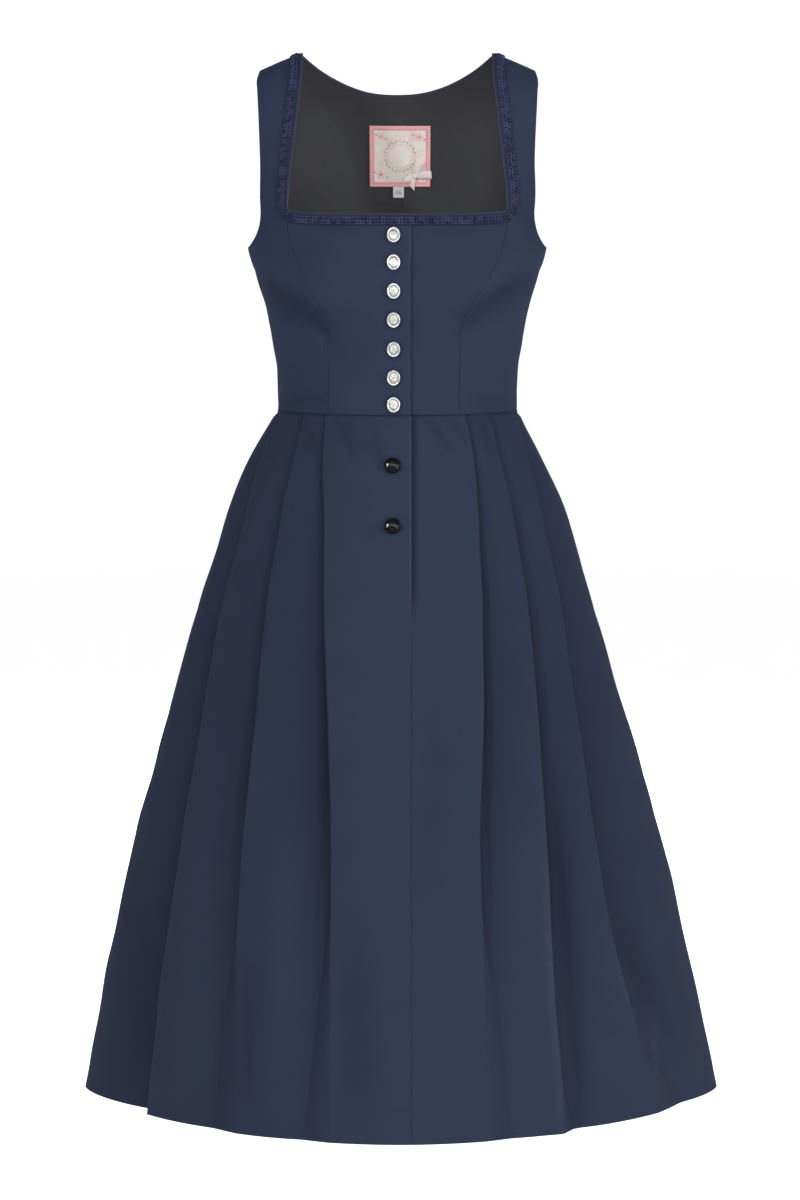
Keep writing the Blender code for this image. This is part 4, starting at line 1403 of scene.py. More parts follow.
    def __post_init__(self) -> None:
        """Read the tables into curves."""
        self.half_width = table_curve(self.sections, "half", rolled=True)
        self.depths = {face: table_curve(self.sections, face.word, rolled=True) for face in Face}
        self.powers = {face: table_curve(self.sections, f"{face.word}_power", rolled=True) for face in Face}
        self.neck_edge = table_curve(self.neck_rows, "across")
        self.arm_edge = table_curve(self.arm_rows, "across")
        self.back_arm_edge = table_curve(self.back_arm_rows, "across")
        self.front_seam = {Hand.RIGHT: table_curve(self.right_seam_rows, "across"),
                           Hand.LEFT: table_curve(self.left_seam_rows, "across")}
        self.climb_spots = np.linspace(0.0, math.sqrt(PATTERN.waist_drop), 400) ** 2
        self.climbs = {face: travelled(self.climb_spots, self.depths[face](self.climb_spots))
                       for face in Face}

    def surface(self, face: Face, angle: Array, drop: Array) -> Array:
        """Points of the bodice's smooth outer surface, at angles from the centre line in radians.

        Args:
            face: Front or back.
            angle: Angles from the centre line, in radians.
            drop: Drops of the points.

        Returns:
            A point for each angle and drop.
        """
        across = self.half_width(drop) * np.sin(angle)
        turned = np.maximum(np.cos(angle), 0.0)
        depth = self.depths[face](drop) * turned ** self.powers[face](drop)
        if face is Face.FRONT:
            away = ((np.abs(across) - self.bust_across) / self.bust_wide) ** 2
            away = away + ((drop - self.bust_drop) / self.bust_tall) ** 2
            depth = depth + self.bust_lift * np.exp(-away) * turned
        out = np.maximum(0.0, (np.abs(across) - self.fall_start) / (self.shoulder_half - self.fall_start))
        fade = np.maximum(0.0, 1.0 - drop / self.shoulder_fade_drop) ** 2
        fall = self.shoulder_fall * out ** self.fall_power * fade
        return np.stack([across, face.value * (depth + GAP / 2), -drop - fall], axis=-1)

    def normal(self, face: Face, angle: Array, drop: Array) -> Array:
        """Outward normals of the smooth outer surface.

        Args:
            face: Front or back.
            angle: Angles from the centre line, in radians.
            drop: Drops of the points.

        Returns:
            A direction for each angle and drop.
        """
        right_angle, turn, step = math.pi / 2, 0.004, 0.5
        across = (self.surface(face, np.minimum(angle + turn, right_angle), drop)
                  - self.surface(face, np.maximum(angle - turn, -right_angle), drop))
        down = (self.surface(face, angle, drop + step)
                - self.surface(face, angle, np.maximum(drop - step, 0.0)))
        return unit(np.cross(down, across) * -face.value)

    def relief(self, face: Face, angle: Array, drop: Array) -> Array:
        """Height of the creases and the unevenness, fading out at the shoulder and the waist.

        Args:
            face: Front or back.
            angle: Angles from the centre line, in radians.
            drop: Drops of the points.

        Returns:
            A height for each point.
        """
        shoulder, waist = self.crease_fades
        height = self.wavy(face, self.half_width(drop) * np.sin(angle), drop)
        return height * smooth_step(drop / shoulder) * smooth_step((PATTERN.waist_drop - drop) / waist)

    def marks(self, face: Face, angle: Array, drop: Array) -> Array:
        """Painted highlight on the bodice's crease ridges, and painted shade in its troughs, along the waist
        seam and round its buttons.
        """
        buttons = (PATTERN.metal_spots, PATTERN.metal_radii)
        return self.cloth_marks(face, self.half_width(drop) * np.sin(angle), drop, 0.0, buttons)

    def point(self, face: Face, angle: Array, drop: Array, lift: Array | float = 0.0) -> Array:
        """Points of the creased bodice, moved out from it by lift.

        Args:
            face: Front or back.
            angle: Angles from the centre line, in radians.
            drop: Drops of the points.
            lift: Height over the form's surface.

        Returns:
            A point for each angle and drop.
        """
        angle, drop = np.broadcast_arrays(np.asarray(angle, float), np.asarray(drop, float))
        height = self.relief(face, angle, drop) + lift
        return self.surface(face, angle, drop) + self.normal(face, angle, drop) * height[..., None]

    def angle_at(self, across: Array, drop: Array) -> Array:
        """Angles at which the bodice has the given distances from the centre line."""
        return np.arcsin(np.clip(across / self.half_width(drop), -1.0, 1.0))

    def cloth_map(self, face: Face, angle: Array, drop: Array) -> Array:
        """Place on the cloth in metres, across and along its threads.

        Args:
            face: Front or back.
            angle: Angles from the centre line, in radians.
            drop: Drops of the points.

        Returns:
            Two distances for each point.
        """
        around = angle * (self.half_width(drop) + self.depths[face](drop)) / 2.0
        along = np.interp(drop, self.climb_spots, self.climbs[face])
        return np.stack(np.broadcast_arrays(around, along), -1) * MM

    def armhole_drop(self, start: float, fraction: Array) -> Array:
        """Drops of the armhole's edge, from the end of the strap to the underarm."""
        reach = PATTERN.underarm_drop - start
        return start + reach * np.sqrt(1 - (1 - fraction) ** self.armhole_power)

    def neckline(self, across: Array) -> Array:
        """Drops of the neckline's lower edge, which sags a little between its corners."""
        share = np.minimum(1.0, np.abs(across) / self.neck_edge(PATTERN.corner_drop))
        return PATTERN.corner_drop + self.front_neck_sag * (1 - share ** self.front_neck_power)

    def back_neckline(self, across: Array) -> Array:
        """Drops of the scooped back neckline."""
        share = np.minimum(1.0, np.abs(across) / self.neck_half)
        return self.back_neck_drop * (1 - share ** self.back_neck_power)

    def underlap(self, hand: Hand, across: Array) -> Array:
        """How far the left front lies in under the right one.

        Args:
            hand: The side of the dress.
            across: Signed distances from the centre line.

        Returns:
            Heights below the form's surface, zero or less.
        """
        if hand is Hand.RIGHT:
            return np.zeros_like(across)
        rise = smooth_step((across - PATTERN.lap_edge) / PATTERN.lap_rise)
        return -(PATTERN.bodice_wall + GAP) * (1 - rise)


def sewn(drop: Array) -> Array:
    """Keep the bodice's last row half a gap above the skirt."""
    return np.minimum(drop, PATTERN.waist_drop - GAP / 2)


def ruled(top: Array, first: float, level: Array | float) -> Array:
    """Drops on columns that start lower than the seam whose levels they follow."""
    return top + (PATTERN.waist_drop - top) * (level - first) / (PATTERN.waist_drop - first)


class Falloff(NamedTuple):
    """A value at an edge, and how far from it the value lasts."""

    value: float
    width: float

    def at(self, away: Array) -> Array:
        """Values at distances from the edge."""
        return self.value * np.exp(-((away / self.width) ** 2))


# Painted shade beside the lap's edge, and a painted highlight along the edge itself.
LAP_SHADE = Falloff(0.8, 1.3)
EDGE_HIGHLIGHT = Falloff(4.0, 1.5)


class Cut(NamedTuple):
    """Flat size of a piece as cut, in millimetres, and the share of that rectangle that it fills."""

    width: float
    length: float
    share: float

    def declare(self, piece: bpy.types.Object, held: str, rests_on: Sequence[str] = ()) -> None:
        """Does nothing; no piece is declared as a sheet here.

        Args:
            piece: Not used.
            held: Not used.
            rests_on: Not used.
        """


@dataclass
class Bodice:
    """Seven panels of the bodice and the lining of its back."""

    form: BodiceForm
    cell: float = 2.4
    roll_cell_share: float = 1.35
    roll_drop: float = 60.0
    strap_columns: int = 17
    armhole_columns: int = 30
    centre_rows: int = 84
    centre_columns: int = 56
    centre_crowding: float = 1.25
    back_columns: int = 105
    back_side_rows: int = 96
    back_side_columns: int = 34
    inner_face: float = -2.0
    front_inner_face: float = -1.8
    tack_spots: tuple[float, float] = (-106.0, 102.0)
    tack_drop: float = 305.5
    tack_half: float = 0.8
    tack_lift: float = 0.05
    cuts: dict[str, Cut] = field(default_factory=lambda: {
        "front_side": Cut(120.0, 390.0, 0.55),
        "front_centre": Cut(125.0, 205.0, 0.78),
        "back_centre": Cut(300.0, 400.0, 0.58),
        "back_side": Cut(130.0, 240.0, 0.62),
    })

    def build(self, maker: Maker, rows: RowKit) -> None:
        """Make every panel, the lining and the tacks.

        Args:
            maker: The piece maker.
            rows: The trees that set rows of things.
        """
        for hand in Hand:
            self._panel(maker, f"front_side_{hand.word}", self.front_side(hand), self.front_inner_face)
            self._panel(maker, f"front_centre_{hand.word}", self.front_centre(hand), self.front_inner_face)
            self._panel(maker, f"back_side_{hand.word}", self.back_side(hand, 0.0), self.inner_face)
            self._lining(maker, f"back_side_{hand.word}", self.back_side(hand, PATTERN.lining_lift))
        self._panel(maker, "back_centre", self.back_centre(0.0), self.inner_face)
        self._lining(maker, "back_centre", self.back_centre(PATTERN.lining_lift))
        self._tacks(maker, rows)

    def _tacks(self, maker: Maker, rows: RowKit) -> None:
        """Tiny tacks of thread near the side seams, above the waist.

        Args:
            maker: The piece maker.
            rows: The trees that set rows of things.
        """
        lanes = []
        for middle in self.tack_spots:
            across = middle + self.tack_half * np.array([-1.0, 0.0, 1.0])
            drop = np.full(3, self.tack_drop)
            angle = self.form.angle_at(across, drop)
            upward = self.form.normal(Face.FRONT, angle, drop)
            lanes.append((self.form.point(Face.FRONT, angle, drop, self.tack_lift), upward, 1.0))
        rows.run(maker, rows.stitches, "waist_tacks", lanes, "binding", "navy_cloth",
                 pitch=self.tack_half, length=2.2, width=0.5, strand=0.45, slant=65.0, tilt=0.0)

    def _cut(self, name: str) -> Cut:
        """The cut of a panel, which is the same for both hands."""
        return self.cuts[name.removesuffix("_right").removesuffix("_left")]

    def _panel(self, maker: Maker, name: str, sheet: Sheet, inner_face: float) -> None:
        """Make one panel of the outer cloth.

        Args:
            maker: The piece maker.
            name: Name of the panel.
            sheet: The open sheet.
            inner_face: Height of its inner skin.
        """
        # The bodice's panels take the bluer copy of the navy, which stands in for the light on them.
        piece = maker.cloth(f"cloth_{name}", sheet.shell(inner_face, 0.0), "bodice_navy", "charcoal",
                            "navy_cloth", [f"bodice_{name}"])
        self._cut(name).declare(piece, "hung")

    def _lining(self, maker: Maker, name: str, sheet: Sheet) -> None:
        """Make one panel of the lining.

        Args:
            maker: The piece maker.
            name: Name of the panel.
            sheet: The open sheet.
        """
        piece = maker.cloth(f"inside_{name}", sheet.shell(-PATTERN.lining_wall, 0.0), "charcoal", "charcoal",
                            "charcoal_lining", [f"lining_{name}"])
        self._cut(name).declare(piece, "hung", [f"cloth_{name}"])

    def _levels(self, low: float, high: float) -> Array:
        """Drops from one level to another, closer together where the cloth rolls over the shoulder.

        Args:
            low: The first drop.
            high: The last drop.

        Returns:
            The drops in order.
        """
        rolled = np.empty(0)
        if low < self.roll_drop:
            count = int(self.roll_cell_share * self.roll_drop / self.cell)
            rolled = np.linspace(math.sqrt(low), math.sqrt(self.roll_drop), count)[:-1] ** 2
            low = self.roll_drop
        return np.concatenate([rolled, np.linspace(low, high, int((high - low) / self.cell) + 2)])

    def _grid(self, sheet: Sheet, face: Face, angle: Array, drop: Array, lift: Array | float,
              flip: bool, marks: Array | None = None) -> None:
        """Add a grid of the bodice to a sheet, with the form's own marks unless others are given.

        Args:
            sheet: The open sheet.
            face: Front or back.
            angle: Angles from the centre line, in radians.
            drop: Drops of the points.
            lift: Height over the form's surface.
            flip: Whether the faces are wound the other way.
            marks: Other marks, if any.
        """
        points = self.form.point(face, angle, drop, lift)
        marks = self.form.marks(face, angle, drop) if marks is None else marks
        sheet.add_grid(points, self.form.cloth_map(face, angle, drop), marks, flip)

    def front_side(self, hand: Hand) -> Sheet:
        """Front side panel with the front half of its strap.

        Args:
            hand: The side of the dress.

        Returns:
            The panel as an open sheet.
        """
        form, sheet = self.form, Sheet()
        shares = np.linspace(0.0, 1.0, self.strap_columns)
        strap_end, corner = PATTERN.strap_end_drop, PATTERN.corner_drop

        def angles(drop: Array) -> Array:
            """Angles of the panel's columns.

            Args:
                drop: Drops of its rows.

            Returns:
                A row of angles for each drop.
            """
            edge = np.where(drop <= corner, form.neck_edge(drop), form.front_seam[hand](drop) + GAP / 2)
            inner, outer = form.angle_at(edge, drop), form.angle_at(form.arm_edge(drop), drop)
            return inner + (outer - inner) * shares

        strap = self._levels(0.0, strap_end)[:, None]
        self._grid(sheet, Face.FRONT, hand.value * angles(strap), strap * np.ones_like(shares), 0.0,
                   hand is Hand.RIGHT)
        level = self._levels(strap_end, PATTERN.waist_drop)[:, None]
        fraction = np.linspace(0.0, 1.0, self.armhole_columns)[1:] ** 2
        lower = sewn(ruled(form.armhole_drop(strap_end, fraction), strap_end, level))
        start = form.angle_at(form.arm_edge(lower), lower)
        angle = np.concatenate([angles(sewn(level)), start + (math.pi / 2 - start) * fraction], 1)
        drop = np.concatenate([sewn(level) * np.ones_like(shares), lower], 1)
        self._grid(sheet, Face.FRONT, hand.value * angle, drop, 0.0, hand is Hand.RIGHT)
        return sheet

    def front_centre(self, hand: Hand) -> Sheet:
        """Front centre panel, from its lapping edge to the seam.

        Args:
            hand: The side of the dress.

        Returns:
            The panel as an open sheet.
        """
        form, sheet = self.form, Sheet()
        first = -PATTERN.lap_edge if hand is Hand.RIGHT else -PATTERN.underlap_edge
        corner = PATTERN.corner_drop
        level = np.linspace(corner, PATTERN.waist_drop, self.centre_rows)[:, None]
        share = np.linspace(0.0, 1.0, self.centre_columns) ** self.centre_crowding
        seam = form.front_seam[hand]
        across = first + (seam(level) - GAP / 2 - first) * share
        top = form.neckline(first + (seam(corner) - first) * share)
        drop = sewn(ruled(top, corner, level))
        angle = hand.value * form.angle_at(across, drop)
        marks = form.marks(Face.FRONT, angle, drop)
        # Painted shade where the left front lies under the lap, and in a thin line beside the lap's edge.
        if hand is Hand.LEFT:
            beside = LAP_SHADE.at(across - PATTERN.lap_edge)
            marks[..., 1] = np.maximum(marks[..., 1], np.where(across < PATTERN.lap_edge, 1.0, beside))
        else:
            # Painted highlight along the right front's lapping edge.
            marks[..., 0] += EDGE_HIGHLIGHT.at(across - first)
        self._grid(sheet, Face.FRONT, angle, drop, form.underlap(hand, across), hand is Hand.RIGHT, marks)
        return sheet

    def back_centre(self, lift: float) -> Sheet:
        """Back centre panel with the back halves of the straps, or its lining.

        Args:
            lift: Height over the form's surface.

        Returns:
            The panel as an open sheet.
        """
        form, sheet = self.form, Sheet()
        column = np.linspace(-1.0, 1.0, self.back_columns)
        level = self._levels(0.0, PATTERN.waist_drop)[:, None]
        top = np.sqrt(form.back_neckline(column * form.shoulder_half))
        waist = math.sqrt(PATTERN.waist_drop)
        drop = sewn((top + (waist - top) * np.sqrt(level) / waist) ** 2)
        gap = np.where(drop > PATTERN.back_seam_drop, GAP / 2, 0.0)
        angle = form.angle_at(column * (form.back_arm_edge(drop) - gap), drop)
        self._grid(sheet, Face.BACK, angle, drop, self._lining_lift(lift, angle, drop), True)
        return sheet

    def back_side(self, hand: Hand, lift: float) -> Sheet:
        """Back side panel, or its lining.

        Args:
            hand: The side of the dress.
            lift: Height over the form's surface.

        Returns:
            The panel as an open sheet.
        """
        form, sheet = self.form, Sheet()
        seam = PATTERN.back_seam_drop
        fraction = np.linspace(0.0, 1.0, self.back_side_columns) ** 2
        level = np.linspace(seam, PATTERN.waist_drop, self.back_side_rows)[:, None]
        drop = sewn(ruled(form.armhole_drop(seam, fraction), seam, level))
        start = form.angle_at(form.back_arm_edge(drop) + GAP / 2, drop)
        angle = hand.value * (start + (math.pi / 2 - start) * fraction)
        self._grid(sheet, Face.BACK, angle, drop, self._lining_lift(lift, angle, drop), hand is Hand.LEFT)
        return sheet

    def _lining_lift(self, lift: float, angle: Array, drop: Array) -> Array | float:
        """The lining's own creases on top of its lift, which only ever take it further in.

        Args:
            lift: Height over the form's surface.
            angle: Angles from the centre line, in radians.
            drop: Drops of the points.

        Returns:
            A height for each point, or the lift as it was.
        """
        if lift == 0.0:
            return lift
        across = self.form.half_width(drop) * np.sin(angle)
        return lift - np.abs(crease_relief(self.form.lining_creases, across, drop))


# Braid along the square neckline


@dataclass
class Braid:
    """Woven tape along the neckline, with knotted lanes, a cord and a rolled edge."""

    form: BodiceForm
    step: float = 1.0
    tape_wall: float = 0.7
    inner_drops: tuple[float, ...] = (0.0, 3.0, 12.0, 27.0, 48.0, 72.0, 98.0, 125.0, 150.0, 156.0)
    front_shares: tuple[float, float] = (0.06, 1.0)
    front_points: int = 16
    corner_width: float = 7.6
    turn_drop: float = 161.0
    outer_drop: float = 166.0
    rounding: int = 5
    tape_shade: tuple[float, float] = (0.18, 0.30)
    lanes: tuple[tuple[float, float], ...] = ((0.40, 1.0), (0.71, -1.0))
    knot_lift: float = 0.30
    cord_share: float = 0.95
    cord_radius: float = 0.62
    cord_sides: int = 8
    cord_tone: float = 0.12
    roll_radius: float = 1.25
    roll_share: float = -0.10
    roll_lift: float = -0.75
    roll_press: float = 0.5
    cut: Cut = Cut(265.0, 11.0, 0.96)

    def build(self, maker: Maker, rows: RowKit) -> None:
        """Make the braid of both sides.

        Args:
            maker: The piece maker.
            rows: The trees that set rows of things.
        """
        for hand in Hand:
            inner, outer = self.route(hand)
            tape = self._tape(maker, hand, inner, outer)
            self._lanes(maker, rows, hand, inner, outer)
            self._cords(maker, hand, inner, outer)
            below = [f"cloth_front_{panel}_{hand.word}" for panel in ("side", "centre")]
            self.cut.declare(tape, "laid", below)

    def route(self, hand: Hand) -> tuple[Array, Array]:
        """Inner and outer edge of the braid from the shoulder to the front edge.

        Args:
            hand: The side of the dress.

        Returns:
            Angles and drops of the two edges, point for point.
        """
        form, seam = self.form, self.form.front_seam[hand]
        drops = np.array(self.inner_drops)
        turn, low = np.array([self.turn_drop]), np.array([self.outer_drop])
        last = -PATTERN.lap_edge if hand is Hand.RIGHT else PATTERN.lap_edge + 2 * GAP
        first = form.neck_edge(PATTERN.corner_drop)
        across = first + (last - first) * np.linspace(*self.front_shares, self.front_points)
        top = form.neckline(across)
        below = ruled(top, PATTERN.corner_drop, self.outer_drop)
        down = self._aside(form.neck_edge(drops), drops, 0.0)
        inner = [down, down[-1:], down[-1:], self._aside(across, top, 0.0)]
        outer = [self._aside(form.neck_edge(drops), drops, PATTERN.braid_width),
                 self._aside(seam(turn), turn, self.corner_width), self._aside(seam(low), low, 0.0),
                 self._aside(across, below, 0.0)]
        return self._even(np.concatenate(inner), np.concatenate(outer))

    def _aside(self, across: Array, drop: Array, width: float) -> Array:
        """Angles and drops of points a width further out than a distance across.

        Args:
            across: Signed distances from the centre line.
            drop: Drops of the points.
            width: The width to go.

        Returns:
            An angle and a drop for each point.
        """
        nudge = 0.03
        angle = self.form.angle_at(across, drop)
        here, there = (self.form.surface(Face.FRONT, angle + turn, drop) for turn in (0.0, nudge))
        return np.stack([angle + width * nudge / np.linalg.norm(there - here, axis=-1), drop], 1)

    def _even(self, inner: Array, outer: Array) -> tuple[Array, Array]:
        """Set the points closer together and round the corner.

        Args:
            inner: Angles and drops of the braid's inner edge.
            outer: Angles and drops of its outer edge.

        Returns:
            The two edges with more points.
        """
        reach = self.form.surface(Face.FRONT, outer[:, 0], outer[:, 1])
        lengths = np.concatenate([[0.0], np.cumsum(np.linalg.norm(np.diff(reach, axis=0), axis=1))])
        spots = np.append(np.arange(0.0, lengths[-1], self.step), lengths[-1])
        weights = np.hanning(2 * self.rounding + 3)[1:-1]
        weights /= weights.sum()
        made = []
        for edge in (inner, outer):
            dense = np.stack([np.interp(spots, lengths, edge[:, axis]) for axis in (0, 1)], 1)
            padded = np.concatenate([2 * dense[:1] - dense[self.rounding:0:-1], dense,
                                     2 * dense[-1:] - dense[-2:-self.rounding - 2:-1]])
            soft = np.stack([np.convolve(padded[:, axis], weights, "valid") for axis in (0, 1)], 1)
            soft[:, 1] = np.maximum(soft[:, 1], 0.0)
            made.append(soft)
        return made[0], made[1]

    def _at(self, hand: Hand, inner: Array, outer: Array, share: float, lift: float) -> Array:
        """Points along the braid at a share of its width.

        Args:
            hand: The side of the dress.
            inner: Angles and drops of the braid's inner edge.
            outer: Angles and drops of its outer edge.
            share: Share of the braid's width.
            lift: Height over the form's surface.

        Returns:
            A point for each step along the braid.
        """
        spot = inner + (outer - inner) * share
        across = self.form.half_width(spot[:, 1]) * np.sin(spot[:, 0])
        sunk = np.where(spot[:, 1] > PATTERN.strap_end_drop, self.form.underlap(hand, across), 0.0)
        return self.form.point(Face.FRONT, hand.value * spot[:, 0], spot[:, 1], lift + sunk)

    def _up(self, hand: Hand, inner: Array, outer: Array, share: float) -> Array:
        """Outward directions along the braid."""
        spot = inner + (outer - inner) * share
        return self.form.normal(Face.FRONT, hand.value * spot[:, 0], spot[:, 1])

    def _tape(self, maker: Maker, hand: Hand, inner: Array, outer: Array) -> bpy.types.Object:
        """The woven ground of the braid.

        Args:
            maker: The piece maker.
            hand: The side of the dress.
            inner: Angles and drops of the braid's inner edge.
            outer: Angles and drops of its outer edge.

        Returns:
            The tape's object.
        """
        shares = np.linspace(0.0, 1.0, 9)
        points = np.stack([self._at(hand, inner, outer, share, GAP) for share in shares], 1)
        along = np.arange(len(inner)) * self.step
        cloth_map = np.stack(np.meshgrid(shares * PATTERN.braid_width, along), -1) * MM
        # Painted shade on the tape under the knotted lanes.
        low, high = self.tape_shade
        under = np.broadcast_to(smooth_step((shares - low) / (high - low)), points.shape[:2])
        marks = np.stack([np.zeros_like(under), under], -1)
        sheet = Sheet().add_grid(points, cloth_map, marks, hand is Hand.RIGHT)
        return maker.cloth(f"braid_tape_{hand.word}", sheet.shell(0.0, self.tape_wall), "tape", "tape",
                           "blue_braid", [f"braid_{hand.word}"])

    def _lanes(self, maker: Maker, rows: RowKit, hand: Hand, inner: Array, outer: Array) -> None:
        """Two lanes of knotted loops that lean towards each other.

        Args:
            maker: The piece maker.
            rows: The trees that set rows of things.
            hand: The side of the dress.
            inner: Angles and drops of the braid's inner edge.
            outer: Angles and drops of its outer edge.
        """
        lift = GAP + self.tape_wall + self.knot_lift
        lanes = [(self._at(hand, inner, outer, share, lift), self._up(hand, inner, outer, share), side)
                 for share, side in self.lanes]
        rows.run(maker, rows.knots, f"braid_knots_{hand.word}", lanes, "braid", "blue_braid",
                 pitch=3.4, length=3.9, width=2.9, strand=0.52, slant=40.0, tilt=16.0)

    def _cords(self, maker: Maker, hand: Hand, inner: Array, outer: Array) -> None:
        """The plain cord beside the lanes, and the rolled edge of the neckline.

        Args:
            maker: The piece maker.
            hand: The side of the dress.
            inner: Angles and drops of the braid's inner edge.
            outer: Angles and drops of its outer edge.
        """
        for name, share, lift, up_share, radius, finish, slot, values in (
                ("braid_cords", self.cord_share, GAP + self.tape_wall, self.cord_share, self.cord_radius,
                 "braid", "blue_braid", {"Shade": self.cord_tone, "Press": 0.0}),
                ("neck_roll", self.roll_share, self.roll_lift, 0.0, self.roll_radius,
                 "binding", "navy_cloth", {"Press": self.roll_press})):
            path = self._at(hand, inner, outer, share, lift)
            points, quads = tube(path, self._up(hand, inner, outer, up_share), radius, self.cord_sides)
            spread = {label: np.full(len(points), value) for label, value in values.items()}
            maker.solid(f"{name}_{hand.word}", (points, quads), finish, slot,
                        cloth_map=plain_map(points) * MM, **spread)


# The skirt


class Flare(NamedTuple):
    """Half widths, depths and fullness of the skirt's plan at a drop."""

    drop: float
    right: float
    left: float
    front: float
    back: float
    power: float


class Pleat(NamedTuple):
    """A knife pleat, with a value at each of the pleat levels."""

    share: tuple[float, ...]
    lap: tuple[float, ...]
    relief: tuple[float, ...]


class Fold(NamedTuple):
    """Where a fold ends along the ring, how strongly it paints shade beside it, and how deep it is."""

    end: float
    strength: float
    relief: float


